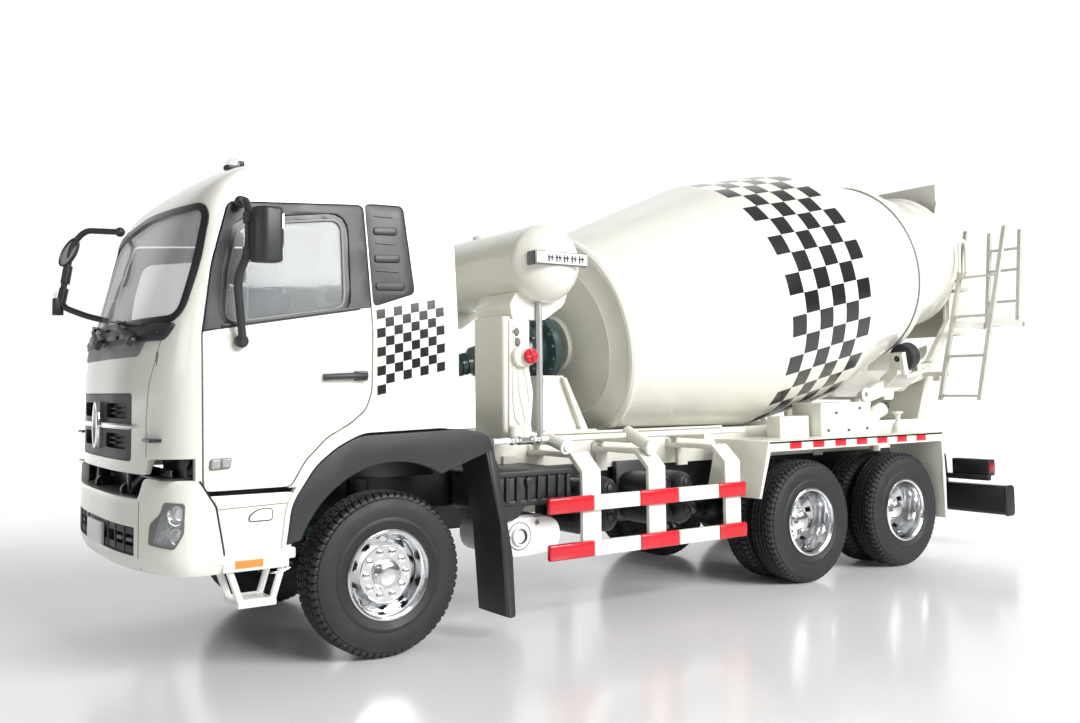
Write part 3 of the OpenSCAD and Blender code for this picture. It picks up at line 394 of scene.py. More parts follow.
class Shape:
    """Solids gathered into one mesh."""

    def __init__(self):
        self.bm = bmesh.new()
        self.materials = []

    def add(self, bm, material, bevel=0.0, segments=2, place=None):
        if material not in self.materials:
            self.materials.append(material)
        bmesh.ops.recalc_face_normals(bm, faces=bm.faces)
        if bevel:
            sharp = [e for e in bm.edges if e.is_manifold and e.calc_face_angle() > math.radians(28)]
            bmesh.ops.bevel(bm, geom=sharp, offset=bevel, segments=segments, profile=0.5,
                            affect="EDGES", clamp_overlap=True)
        if place:
            bmesh.ops.transform(bm, matrix=place, verts=bm.verts)
        for face in bm.faces:
            face.material_index = self.materials.index(material)
        mesh = bpy.data.meshes.new("part")
        bm.to_mesh(mesh)
        bm.free()
        self.bm.from_mesh(mesh)
        bpy.data.meshes.remove(mesh)
        return self

    def box(self, low, high, material, bevel=0.3, segments=2, place=None):
        outline = [(low[0], low[1]), (high[0], low[1]), (high[0], high[1]), (low[0], high[1])]
        return self.prism(outline, low[2], high[2], "Z", material, bevel, segments, place)

    def prism(self, outline, low, high, along, material, bevel=0.3, segments=2, place=None):
        """An outline in the plane across one axis, drawn out along that axis from low to high."""
        def corner(p, t):
            return {"X": (t, p[0], p[1]), "Y": (p[0], t, p[1]), "Z": (p[0], p[1], t)}[along]
        bm = bmesh.new()
        a = [bm.verts.new(corner(p, low)) for p in outline]
        b = [bm.verts.new(corner(p, high)) for p in outline]
        bm.faces.new(a)
        bm.faces.new(b[::-1])
        for i in range(len(a)):
            bm.faces.new((a[i], a[i - 1], b[i - 1], b[i]))
        return self.add(bm, material, bevel, segments, place)

    def lathe(self, profile, material, place=None, turns=64, ripple=None, closed=False):
        """(radius, height) points turned about local Z. ripple(k, i) scales the radius of point i at turn k."""
        bm, rings = bmesh.new(), []
        for i, (radius, height) in enumerate(profile):
            if radius < 1e-6:
                rings.append([bm.verts.new((0, 0, height))])
                continue
            ring = []
            for k in range(turns):
                a, r = 2 * math.pi * k / turns, radius * (ripple(k, i) if ripple else 1)
                ring.append(bm.verts.new((r * math.cos(a), r * math.sin(a), height)))
            rings.append(ring)
        pairs = list(zip(rings, rings[1:])) + ([(rings[-1], rings[0])] if closed else [])
        for a, b in pairs:
            for k in range(turns):
                j = (k + 1) % turns
                corners = [a[k % len(a)], a[j % len(a)], b[j % len(b)], b[k % len(b)]]
                corners = [v for n, v in enumerate(corners) if v not in corners[:n]]
                if len(corners) > 2:
                    bm.faces.new(corners)
        return self.add(bm, material, place=place)

    def tube(self, points, radius, material, bend=2.5, sides=14, flat=1.0, place=None):
        """A round bar through points, with swept corners; flat thins it across its first bend."""
        path = rounded(points, bend, 6, closed=False)
        bm, rings = bmesh.new(), []
        angles = [2 * math.pi * k / sides for k in range(sides)]
        side = None
        for i, p in enumerate(path):
            ahead = (path[min(i + 1, len(path) - 1)] - path[max(i - 1, 0)]).normalized()
            if side is None:
                side = ahead.cross(Vector((0, 0, 1)) if abs(ahead.z) < 0.9 else Vector((0, 1, 0)))
            side = (side - ahead * side.dot(ahead)).normalized()
            up = side.cross(ahead)
            rings.append([bm.verts.new(p + radius * (side * math.cos(a) + flat * up * math.sin(a)))
                          for a in angles])
        bm.faces.new(rings[0])
        bm.faces.new(rings[-1][::-1])
        for a, b in zip(rings, rings[1:]):
            for k in range(sides):
                bm.faces.new((a[k], a[k - 1], b[k - 1], b[k]))
        return self.add(bm, material, place=place)

    def ball(self, centre, radius, material, scale=(1, 1, 1), place=None):
        bm = bmesh.new()
        bmesh.ops.create_uvsphere(bm, u_segments=28, v_segments=16, radius=radius)
        shift = Matrix.Translation(centre) @ Matrix.Diagonal((*scale, 1))
        bmesh.ops.transform(bm, matrix=shift, verts=bm.verts)
        return self.add(bm, material, place=place)

    def plate(self, outline, surface, depth, material, holes=(), step=3.0, bevel=0.2):
        """A curved plate: an outline with convex holes, laid on surface(a, b) and reaching from
        depth[0] to depth[1] below it."""
        bm = bmesh.new()
        bm.faces.new([bm.verts.new((p[0], p[1], 0)) for p in outline])
        cuts = []
        for axis in (0, 1):
            low, high = min(p[axis] for p in outline), max(p[axis] for p in outline)
            count = max(1, math.ceil((high - low) / step))
            for i in range(1, count):
                place, normal = [0, 0, 0], [0, 0, 0]
                place[axis], normal[axis] = low + (high - low) * i / count, 1
                cuts.append((place, normal))
        for hole in holes:
            for p, q in zip(hole, hole[1:] + hole[:1]):
                cuts.append(((p[0], p[1], 0), (q[1] - p[1], p[0] - q[0], 0)))
        for place, normal in cuts:
            bmesh.ops.bisect_plane(bm, geom=bm.verts[:] + bm.edges[:] + bm.faces[:], dist=1e-4,
                                   plane_co=place, plane_no=normal)
        for hole in holes:
            inside = [f for f in bm.faces if is_inside(f.calc_center_median(), hole)]
            bmesh.ops.delete(bm, geom=inside, context="FACES")
        flat = bmesh.new()
        outer, inner = {}, {}
        for v in bm.verts:
            p, normal = surface(v.co.x, v.co.y), surface_normal(surface, v.co.x, v.co.y)
            outer[v], inner[v] = flat.verts.new(p - normal * depth[0]), flat.verts.new(p - normal * depth[1])
        for f in bm.faces:
            flat.faces.new([outer[v] for v in f.verts])
            flat.faces.new([inner[v] for v in reversed(f.verts)])
        for e in bm.edges:
            if len(e.link_faces) == 1:
                a, b = e.verts
                flat.faces.new((outer[a], outer[b], inner[b], inner[a]))
        bm.free()
        return self.add(flat, material, bevel)

    def both_sides(self):
        """Adds the mirror image on the other side of the truck."""
        copy = self.bm.copy()
        bmesh.ops.transform(copy, matrix=Matrix.Diagonal((1, -1, 1, 1)), verts=copy.verts)
        bmesh.ops.reverse_faces(copy, faces=copy.faces)
        mesh = bpy.data.meshes.new("part")
        copy.to_mesh(mesh)
        copy.free()
        self.bm.from_mesh(mesh)
        bpy.data.meshes.remove(mesh)
        return self

    def finish(self, name, body, slot, replaces=(), smooth=32, place=TO_METRES):
        """Makes the object, moves it from millimetres to the row frame and puts it on its body."""
        bmesh.ops.transform(self.bm, matrix=place, verts=self.bm.verts)
        mesh = bpy.data.meshes.new(name)
        self.bm.to_mesh(mesh)
        self.bm.free()
        for material in self.materials:
            mesh.materials.append(MATERIALS[material])
        obj = bpy.data.objects.new(name, mesh)
        scene.collection.objects.link(obj)
        shade_by_angle(mesh, smooth)
        if body:
            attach(obj, body)
        if replaces:
            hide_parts(*replaces)
        return obj


def is_inside(p, outline):
    """Whether p lies inside a convex outline."""
    signs = [(b[0] - a[0]) * (p.y - a[1]) - (b[1] - a[1]) * (p.x - a[0])
             for a, b in zip(outline, outline[1:] + outline[:1])]
    return all(s > 0 for s in signs) or all(s < 0 for s in signs)


def surface_normal(surface, a, b, d=0.05):
    """The outward normal of a surface, away from the middle of the truck."""
    normal = (surface(a + d, b) - surface(a - d, b)).cross(surface(a, b + d) - surface(a, b - d)).normalized()
    outward = surface(a, b) - Vector((-20, 0, 80))
    return normal if normal.dot(outward) > 0 else -normal


def shade_by_angle(mesh, degrees):
    bm = bmesh.new()
    bm.from_mesh(mesh)
    for face in bm.faces:
        face.smooth = True
    for edge in bm.edges:
        edge.smooth = len(edge.link_faces) == 2 and edge.calc_face_angle(0) < math.radians(degrees)
    bm.to_mesh(mesh)
    bm.free()


def cut(obj, cutters, smooth=32):
    """Takes the cutters, Shapes in millimetres, out of obj, and shades what is left."""
    for shape in cutters:
        cutter = shape.finish("cutter", None, None)
        modifier = obj.modifiers.new("cut", "BOOLEAN")
        modifier.operation, modifier.solver, modifier.object = "DIFFERENCE", "EXACT", cutter
        depsgraph = bpy.context.evaluated_depsgraph_get()
        mesh = bpy.data.meshes.new_from_object(obj.evaluated_get(depsgraph))
        obj.modifiers.clear()
        old, obj.data = obj.data, mesh
        bpy.data.meshes.remove(old)
        bpy.data.objects.remove(cutter)
    shade_by_angle(obj.data, smooth)


def keep(material, *nodes):
    """Shows CAD nodes as they are, with a procedural material."""
    for name in nodes:
        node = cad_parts[name]
        node.data.materials.clear()
        node.data.materials.append(MATERIALS[material])


# ---------------------------------------------------------------- Cab surface
def smooth(t):
    t = min(max(t, 0), 1)
    return t * t * (3 - 2 * t)


def bend_up(z, start, end, slope):
    """0 below start, then curving into a straight slope at end."""
    t = min(max(z - start, 0), end - start)
    return slope * (t * t / (2 * (end - start)) + max(z - end, 0))


LEAN = 0.297                                   # slope of the windscreen
CROWN = 1.2                                    # how much the roof rises from its edge
ROOF_EDGE = ROOF_Z - CROWN
BROW_Z = 121.2                                 # where the front starts to curve into the roof
BROW_R = (ROOF_EDGE - BROW_Z) / (1 - math.sin(math.atan(LEAN)))
TUCK = 0.095                                   # slope of the sides above the waist
SIDE_R = 9.0
SIDE_Z = ROOF_EDGE - SIDE_R * (1 - math.sin(math.atan(TUCK)))


def straight_front(z):
    return CAB_FRONT + bend_up(z, 71, 93, LEAN)


def centre_front(z):
    """X of the cab's front on the centre line."""
    if z <= BROW_Z:
        return straight_front(z)
    x = straight_front(BROW_Z) + BROW_R * math.cos(math.atan(LEAN))
    return x - math.sqrt(max(0, BROW_R ** 2 - (z - ROOF_EDGE + BROW_R) ** 2))


def half_width(z):
    if z <= SIDE_Z:
        return CAB_W - bend_up(z, 82, 96, TUCK)
    y = CAB_W - bend_up(SIDE_Z, 82, 96, TUCK) - SIDE_R * math.cos(math.atan(TUCK))
    return y + math.sqrt(max(0, SIDE_R ** 2 - (z - ROOF_EDGE + SIDE_R) ** 2))


def back_x(z):
    r = 4.0
    if z <= ROOF_EDGE - r:
        return CAB_BACK
    return CAB_BACK - r + math.sqrt(max(0, r * r - (z - ROOF_EDGE + r) ** 2))


def sag(t, z):
    """How far the front falls back at a share t of the half width."""
    t = min(abs(t), 1)
    high = smooth((z - 66) / 55)
    return (8.2 - 5.0 * high) * t ** 2.95 + (6 - 3 * high) * (1 - math.sqrt(1 - t ** 16))


def front_at(y, z):
    return Vector((centre_front(z) + sag(y / half_width(z), z), y, z))


def side_at(side):
    return lambda x, z: Vector((x, side * half_width(z), z))


def cab_ring(z, inset=0.0, share=1.0):
    """Points round the cab at height z, from the back left to the back right."""
    w, x1 = (half_width(z) - inset) * share, back_x(z) - inset
    middle = -12.0
    flat = [0.8 * i / 14 for i in range(15)]
    start = math.asin(0.8 ** 8)
    corner = [math.sin(start + (math.pi / 2 - start) * i / 14) ** 0.125 for i in range(1, 15)]
    half = flat + corner
    front = [(centre_front(z) + inset + sag(t, z), t * w) for t in half]
    x2 = front[-1][0]
    side = [(x2 + (x1 - x2) * i / 16, w) for i in range(1, 17)]
    right = [((x - middle) * share + middle, y) for x, y in front + side]
    return [(x, -y, z) for x, y in right[::-1]] + [(x, y, z) for x, y in right[1:]]


def cab_solid(inset, bottom):
    """The cab as a closed solid, inset from its skin, standing on bottom."""
    top = ROOF_EDGE - inset * 0.02
    levels = [bottom + (SIDE_Z - bottom) * i / 30 for i in range(31)]
    levels += [SIDE_Z + (top - SIDE_Z) * math.sin(math.pi / 2 * i / 12) for i in range(1, 13)]
    rings = [cab_ring(z, inset) for z in levels]
    for share in (0.96, 0.9, 0.8, 0.65, 0.45, 0.2):
        ring = cab_ring(top, inset, share)
        rings.append([(x, y, z + CROWN * (1 - share ** 2)) for x, y, z in ring])
    if inset:
        rings = [[(x, y, z - inset * smooth((z - 100) / 30)) for x, y, z in ring] for ring in rings]
    shape, bm = Shape(), bmesh.new()
    verts = [[bm.verts.new(p) for p in ring] for ring in rings]
    for a, b in zip(verts, verts[1:]):
        for k in range(len(a)):
            bm.faces.new((a[k], a[k - 1], b[k - 1], b[k]))
    bm.faces.new(verts[0])
    bm.faces.new(verts[-1][::-1])
    return shape.add(bm, "cab")


DOOR = rounded([(-51.2, 48.9), (-29.3, 48.9), (-25.6, 55.2), (-19.4, 61.2), (-12.6, 64.8), (-8.4, 68.2),
                (-6.6, 73), (-6.3, 90), (-7.8, 124.2), (-44.9, 121.6), (-49.5, 105), (-51.9, 88)], 1.6, 3)
WINDOW = rounded([(-45.7, 91.2), (-14.6, 96), (-14.6, 119.3), (-41.9, 115.6), (-44.6, 104)], 3.0, 4)
LOUVRE = rounded([(-5.5, 96.3), (7.3, 100.5), (4.8, 125.3), (-6.9, 125)], 1.6, 4)
SCREEN = rounded([(-48, 91.2), (48, 91.2), (49.2, 106), (47.6, 121), (0, 123.6), (-47.6, 121), (-49.2, 106)],
                 5.0, 6)
GRILLE = rectangle(-29, 55.9, 29, 73, 1.2)


def make_cab_shell():
    shell = cab_solid(0, 46.6).finish("cab_shell_skin", None, None)
    inner = cab_solid(CAB_WALL, 45)
    low = Shape()
    # the open underside, higher at the front corners, and the wheel arches
    low.prism([(-80, 40), (-80, 52.7), (-54.6, 52.7), (-51.8, 48.6), (30, 48.6), (30, 40)], -60, 60, "Y",
              "cab", 0)
    arch = Shape().prism(rounded([(-28.6, 40), (-28.6, 45.7), (-22.5, 54.2), (-16.6, 58.9), (-10.3, 61.8),
                                  (30, 62.8), (30, 40)], 3, 3), -61, 61, "Y", "cab", 0)
    corners = Shape()
    for s in (-1, 1):
        corners.prism(rounded([(s * 35, 50), (s * 38.6, 56.6), (s * 70, 57.6), (s * 70, 50)], 1.5, 3),
                      -80, -53.2, "X", "cab", 0)
    sides = Shape()
    for s in (-1, 1):
        a, b = sorted((s * 45, s * 62))
        sides.prism(grown(DOOR, 0.45), a, b, "Y", "cab", 0)
        sides.prism(grown(LOUVRE, 0.15), a, b, "Y", "cab", 0)
    front = Shape()
    front.prism(grown(SCREEN, 0.1), -80, -40, "X", "cab", 0)
    front.prism(grown(GRILLE, 0.2), -80, -60.4, "X", "cab", 0)
    cut(shell, [inner, low, arch, corners, sides, front], 30)
    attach(shell, "cab")
    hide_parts("cab_shell")


def make_cab_floor():
    """What closes the cab below: floor pan, front valance behind the gap and hinge lugs."""
    floor = Shape()
    pan = [p[:2] for p in cab_ring(62, 1.6)]
    floor.prism(pan, 62.4, 63.4, "Z", "ivory", 0)
    floor.prism([(-61.4, 52), (-57.6, 52), (-57.6, 62.6), (-61.4, 62.6)], -30, 30, "Y", "black", 0.3)
    for s in (-1, 1):
        floor.prism(rounded([(-61.4, 62), (-61.4, 46), (-60, 44.9), (-58.4, 46), (-56.6, 62)], 1, 4),
                    s * 17.6, s * 19.4, "Y", "black", 0.2)
    floor.finish("cab_floor_pan", "cab", "ivory_paint")


def seam(shape, points, surface, material="black", width=0.28):
    """A thin dark line along points on a surface, for joints and for the painted shadow of a gap."""
    for p, q in zip(points, points[1:]):
        p, q = Vector(p), Vector(q)
        across = Vector((q.y - p.y, p.x - q.x)).normalized() * width / 2
        shape.plate([p + across, q + across, q - across, p - across], surface, (-0.03, 0.3), material,
                    step=4, bevel=0)


def make_cab_details():
    trim = Shape()
    # rubber round the windscreen
    trim.plate(grown(SCREEN, 0.5), front_at, (-0.45, 0.9), "black", holes=[grown(SCREEN, -1.3)], step=4,
               bevel=0.2)
    trim.finish("windscreen_seal", "cab", "charcoal_plastic")
    glass_pane = Shape().plate(grown(SCREEN, -0.9), front_at, (0.25, 0.95), "screen", step=4, bevel=0)
    glass_pane.finish("windscreen_pane", "cab", "clear_glass", ["windscreen"])

    panel = Shape()
    # grey panel below the windscreen and the black wiper box on it
    panel.plate(rounded([(-31, 82.6), (31, 82.6), (36, 88.8), (-36, 88.8)], 1.5, 3), front_at, (-0.5, 0.6),
                "trim_grey", step=4, bevel=0.3)
    panel.plate(rounded([(-44, 86.3), (44, 86.3), (47.4, 90.6), (-47.4, 90.6)], 2, 4), front_at, (-0.9, 0.7),
                "charcoal", step=4, bevel=0.4)
    for y in (-36, -22, -8, 8, 22, 36):
        panel.plate(rectangle(y - 5.5, 87.3, y + 5.5, 88.6, 0.4), front_at, (-1.2, 0.2), "black", step=5,
                    bevel=0.15)
    panel.finish("wiper_panel", "cab", "charcoal_plastic")

    seams = Shape()
    for s in (-1, 1):
        line = [(s * 42, 86.4), (s * 41, 82), (s * 38.4, 75), (s * 37.4, 66), (s * 37.6, 57)]
        seam(seams, line, front_at, "trim_grey", 0.25)
        seam(seams, [(s * 47.4, 92.4), (s * 50.9, 91.6)], front_at, "trim_grey", 0.25)
    seams.finish("cab_seams", "cab", "charcoal_plastic")

    lamps = Shape()
    base = at(-37.5, -30, ROOF_EDGE + 0.6) @ Matrix.Scale(0.72, 4)
    lamps.prism(rectangle(-3.6, -2.4, 3.2, 2.4, 1.4), -1, 0.5, "Z", "charcoal", 0.2, place=base)
    lamps.lathe([(0, 3.6), (1.1, 3.5), (2.0, 2.7), (2.3, 1.4), (2.3, 0.4), (0, 0.4)], "lens",
                base @ Matrix.Diagonal((1.35, 1, 1, 1)), 32)
    lamps.prism(rectangle(1.2, -2, 3.6, 2, 0.8), 0.5, 2.6, "Z", "charcoal", 0.5, place=base)
    lamps.finish("roof_lamps", "cab", "lamp_lens")


def make_wipers():
    arms = Shape()
    for y, reach in ((-30, 30), (2, 28)):
        root = front_at(y, 86.6) + Vector((-1.6, 0, 0))
        arms.lathe([(0, 1.6), (1.1, 1.5), (1.5, 1.0), (1.6, 0), (0, 0)], "charcoal",
                   Matrix.Translation(root) @ turned(-65, "Y"), 24)
        elbow, tip = front_at(y + reach * 0.42, 91) + Vector((-2.6, 0, 0)), front_at(y + reach * 0.62, 92.2)
        arms.tube([root + Vector((-0.9, 0, 0.4)), elbow, tip + Vector((-1.5, 0, 0))], 0.55, "charcoal", 2, 10)
        shares = (-0.05, 0.3, 0.62, 0.95)
        blade = [front_at(y + reach * t, 91 + 2.4 * t) + Vector((-1.1, 0, 0)) for t in shares]
        arms.tube(blade, 0.5, "charcoal", 3, 8, 0.7)
        arms.tube([p + Vector((-0.8, 0, 0.3)) for p in blade[1:3]], 0.35, "charcoal", 2, 8)
    arms.finish("wiper_arms", "cab", "charcoal_plastic", ["wipers"])


def make_grille():
    grille = Shape()
    insets = []
    for s in (-1, 1):
        for low, high, far, near in ((66.6, 70.6, 25.6, 6.4), (58.6, 62.6, 24.6, 6.4)):
            insets.append(rounded([(s * near, low), (s * far, low), (s * (far + 0.8), (low + high) / 2),
                                   (s * far, high), (s * near, high)], 1.1, 3))
    grille.plate(GRILLE, front_at, (0.1, 1.4), "charcoal", holes=insets, step=3, bevel=0.3)
    grille.plate(grown(rectangle(-28.6, 56.2, 28.6, 72.7), 0), front_at, (1.9, 2.6), "mesh", step=4, bevel=0)
    # two slots of louvre in each opening
    for s in (-1, 1):
        for z in (67.9, 69.2, 59.9, 61.2):
            grille.plate(on_side(s, 7, z - 0.2, 15, z + 0.2), front_at, (0.7, 1.8), "black", step=4,
                         bevel=0.08)
    grille.plate(rounded([(-33.5, 64.6), (-30, 65.3), (30, 65.3), (33.5, 64.6), (30, 63.9), (-30, 63.9)],
                         0.4, 2), front_at, (-1.0, 0.2), "chrome", step=3, bevel=0.3)
    ring = oval(0, 64.5, 3.1, 6.4)
    grille.plate(ring, front_at, (-1.7, 0.2), "chrome", holes=[oval(0, 64.5, 2.35, 5.6)], step=2, bevel=0.25)
    grille.plate(rounded([(-0.5, 59.2), (0.5, 59.2), (0.95, 64.5), (0.5, 69.8), (-0.5, 69.8), (-0.95, 64.5)],
                         0.4, 2), front_at, (-1.3, 0), "chrome", step=2, bevel=0.2)
    grille.finish("grille_with_badge", "cab", "charcoal_plastic", ["front_grille"])


def make_louvres():
    louvres = Shape()
    for s in (-1, 1):
        skin = side_at(s)
        louvres.plate(LOUVRE, skin, (0.25, 1.3), "charcoal", step=4, bevel=0.25)
        for z, reach in ((121.9, 3), (114.2, 3.2), (106.4, 3.6)):
            louvres.plate(rectangle(-4.2, z - 0.25, -4.2 + reach * 1.9, z + 0.25, 0.2), skin, (0.1, 0.6),
                          "black", step=4, bevel=0.08)
        for z, reach in ((117.4, 7.2), (109.6, 7.8), (101.8, 9)):
            louvres.plate(rounded([(-4.6, z - 0.9), (-4.6 + reach, z - 0.6), (-4.6 + reach, z + 1.6),
                                   (-4.6, z + 1.2)], 0.8, 3), skin, (-0.25, 0.6), "charcoal", step=4,
                                   bevel=0.35)
    louvres.finish("louvre_panels", "cab", "charcoal_plastic", ["side_louvres"])


def waist_line(x):
    """Height at which a door changes from paint to its dark window frame."""
    return 88.2 + (x + 52) * 0.17


def make_doors():
    for name, s in (("left", -1), ("right", 1)):
        skin, body = side_at(s), "door_" + name
        door = Shape()
        door.plate(clipped(DOOR, waist_line, False), skin, (0, 1.5), "cab", step=3, bevel=0.25)
        door.plate(clipped(DOOR, waist_line, True), skin, (-0.12, 1.5), "charcoal",
                   holes=[grown(WINDOW, 2.4)], step=4, bevel=0.25)
        door.plate(grown(WINDOW, 2.5), skin, (0.28, 1.2), "black", holes=[grown(WINDOW, 0.3)], step=4,
                   bevel=0.12)
        door.plate(grown(WINDOW, 0.9), skin, (0.12, 0.5), "trim_grey", holes=[grown(WINDOW, 0.35)], step=4,
                   bevel=0.05)
        door.plate(rounded([(-47.4, 89.1), (-9.6, 95.2), (-9.6, 96.2), (-47.4, 90.2)], 0.3, 2), skin,
                   (-0.5, 0.4), "charcoal", step=4, bevel=0.15)
        # handle in its shallow dish
        door.plate(oval(-14, 77, 4.6, 2.6), skin, (-0.08, 0.3), "cab", step=2, bevel=0.05)
        y = s * (half_width(77) + 1.1)
        door.tube([(-20.4, y - s * 0.7, 76.9), (-16, y, 77.1), (-12.4, y, 77.2), (-8.4, y - s * 0.5, 77.3)],
                  1.3, "black", 2, 12, 0.7)
        door.plate(rectangle(-11.8, 75.9, -8.1, 78.6, 0.5), skin, (-1.5, 0.4), "black", step=3, bevel=0.35)
        # side lamp
        door.plate(rounded([(-50.2, 54), (-44.9, 54.3), (-44.6, 57), (-50, 56.8)], 0.7, 3), skin,
                   (-0.5, 0.3), "trim_grey", step=2, bevel=0.2)
        door.plate(rounded([(-49.8, 54.3), (-47.6, 54.5), (-47.6, 56.6), (-49.7, 56.5)], 0.5, 3), skin,
                   (-0.9, 0.3), "lens", step=2, bevel=0.2)
        door.plate(rounded([(-47.1, 54.6), (-45.1, 54.7), (-45, 56.8), (-47.1, 56.7)], 0.5, 3), skin,
                   (-0.9, 0.3), "lens", step=2, bevel=0.2)
        door.finish("door_panel_" + name, body, "ivory_paint", ["door_" + name])
        pane = Shape().plate(grown(WINDOW, 0.6), skin, (0.5, 1.0), "glass", step=5, bevel=0)
        pane.finish("door_pane_" + name, body, "clear_glass", ["door_glass_" + name])


def make_mirror_left():
    arm = Shape()
    arm.ball((-42.8, -53.7, 86), 1.75, "charcoal", (1, 0.8, 1))
    arm.lathe([(0, 0), (1.5, 0), (1.5, 0.5), (0, 0.5)], "charcoal",
              at(-42.8, -52.2, 86) @ turned(90, "X"), 24)
    arm.tube([(-42.8, -54.4, 86.4), (-45.3, -57.2, 101.5), (-43.2, -59.7, 107.6), (-43.2, -59.7, 118),
              (-42.8, -55.4, 121.6), (-42.4, -51.2, 121.6)], 1.0, "charcoal", 3.5, 14)
    arm.ball((-42.6, -51.4, 121.6), 1.6, "charcoal", (1, 0.8, 1))
    for z in (107.5, 116.2):
        arm.lathe([(0, -1.3), (1.5, -1.3), (1.5, 1.3), (0, 1.3)], "charcoal", at(-43.2, -59.7, z), 20)
    head = [(-43.6, -60.4), (-41.6, -59.9), (-38.4, -60.2), (-36.4, -61.6), (-36.3, -65.4), (-41, -65.9),
            (-43.2, -63.8)]
    arm.prism(rounded(head, 1.2, 4), 105, 118.8, "Z", "charcoal", 1.1, 3)
    arm.prism([(-36.6, -62.4), (-36.2, -62.4), (-36.2, -64.9), (-36.6, -64.9)], 106.6, 117.2, "Z", "mirror",
              0.1)
    arm.finish("mirror_on_left_door", "door_left", "charcoal_plastic", ["mirror_left"])


def make_mirror_right():
    loop = Shape()
    loop.tube([(-54.2, 49.4, 97.2), (-58, 55, 98.6), (-65.2, 63.4, 102.4), (-61.6, 63.8, 123.4),
               (-58.2, 61.6, 128.2), (-49.6, 48.4, 126.6)], 1.0, "charcoal", 4, 14)
    loop.ball((-54.2, 49.6, 97.2), 1.6, "charcoal")
    loop.ball((-49.8, 48.6, 126.6), 1.6, "charcoal")
    for z0, z1, x in ((103.4, 108.4, -64.8), (110, 116, -63.7)):
        loop.tube([(x, 63.5, z0), (x + 0.9, 63.6, z1)], 1.5, "charcoal", 1, 14)
    # oval kerb mirror, facing back and inwards
    turn = at(-62.4, 64, 120.6) @ turned(-50, "Z") @ turned(72, "X") @ turned(-16, "Z")
    body = [(0, -1.5), (2.2, -1.35), (3.3, -0.6), (3.5, 0.7), (3.2, 0.8), (3.1, 0.4), (0, 0.4)]
    oval_shape = turn @ Matrix.Diagonal((0.8, 1.55, 1, 1))
    loop.lathe(body, "charcoal", oval_shape, 40)
    loop.lathe([(0, 0.55), (2.0, 0.5), (3.05, 0.42), (3.05, 0.2), (0, 0.2)], "mirror", oval_shape, 40)
    loop.prism(rounded([(-67.3, 62.4), (-64, 62.4), (-64, 65.6), (-67.3, 65.6)], 0.8, 3), 99.4, 105, "Z",
               "charcoal", 0.5, 3)
    loop.lathe([(0, 1.2), (1.0, 1.0), (1.3, 0), (0, 0)], "lens",
               at(-66, 63.4, 105.9) @ turned(-90, "Y"), 24)
    loop.finish("mirror_on_right_pillar", "cab", "charcoal_plastic", ["mirror_right"])


def make_interior():
    seats = Shape()
    seats.prism(rounded([(-60.4, 64), (-53, 64), (-51.8, 76), (-54, 84.2), (-60.2, 84.6)], 2, 4), -42, 42,
                "Y", "seat", 0.8, 3)
    seats.tube([(-56, -24, 72.4), (-48.2, -24, 79.6)], 1.6, "charcoal", 1, 16)
    for y in (-24, 24):
        seats.box((-34, y - 8.6, 63.6), (-11, y + 8.6, 68.2), "charcoal", 0.8)
        seats.prism(rounded([(-35, 68), (-10, 68.4), (-9, 73.4), (-30, 73.6), (-35, 72.6)], 2.4, 5),
                    y - 10.2, y + 10.2, "Y", "seat", 1.6, 4)
        seats.prism(rounded([(-12.4, 72), (-7, 72), (-2.4, 99), (-6.8, 99)], 2.2, 5), y - 9.8, y + 9.8, "Y",
                    "seat", 1.5, 4)
        seats.prism(rounded([(-6.4, 99.6), (-2.6, 99.6), (-1.8, 106), (-5.4, 106)], 1.5, 4), y - 5, y + 5,
                    "Y", "seat", 1.2, 3)
    seats.box((4, -43.5, 63.6), (18.6, 43.5, 74), "seat", 1.4, 3)
    seats.box((-31, -9, 63.5), (-8, 9, 66.5), "charcoal", 0.9, 3)
    seats.finish("cab_seats_and_dash", "cab", "interior_plastic", ["cab_interior"])
    keep("charcoal", "steering_wheel")


# ---------------------------------------------------------------- Front end
def bumper_path():
    """Points round the bumper's plan from the middle to its left rear end, with their path length."""
    start = math.asin(0.8 ** 8)
    half = [0.8 * i / 30 for i in range(31)]
    half += [math.sin(start + (math.pi / 2 - start) * i / 30) ** 0.125 for i in range(1, 31)]
    points = [(BUMPER_FRONT + 8.2 * t ** 2.95 + 5.4 * (1 - math.sqrt(1 - t ** 16)),
               t * BUMPER_W) for t in half]
    points += [(points[-1][0] + i, BUMPER_W) for i in range(1, 12)]
    lengths = [0.0]
    for a, b in zip(points, points[1:]):
        lengths.append(lengths[-1] + math.dist(a, b))
    return points, lengths


BUMPER_POINTS, BUMPER_LENGTHS = bumper_path()


def bumper_at(u, z):
    """A point on the bumper: u is the distance round it from the middle, left side negative."""
    d = min(abs(u), BUMPER_LENGTHS[-1] - 0.01)
    i = next(k for k, length in enumerate(BUMPER_LENGTHS) if length > d) - 1
    t = (d - BUMPER_LENGTHS[i]) / (BUMPER_LENGTHS[i + 1] - BUMPER_LENGTHS[i])
    (x0, y0), (x1, y1) = BUMPER_POINTS[i], BUMPER_POINTS[i + 1]
    x, y = x0 + (x1 - x0) * t, y0 + (y1 - y0) * t
    under = max(0, 32.5 - z) / 4.5
    tuck = 1.5 * under ** 2
    scale = 1 - tuck / BUMPER_W
    return Vector((x + tuck * (1 - smooth((d - 45) / 12)), math.copysign(y * scale, u), z))


def mirrored(outline, s):
    return [(s * p[0], p[1]) for p in outline]


HEADLIGHT = rounded([(41.4, 35.9), (50.6, 35.2), (53, 39), (53.2, 46.2), (47.4, 46.4), (46, 43.4),
                     (42, 40.8)], 0.8, 3)


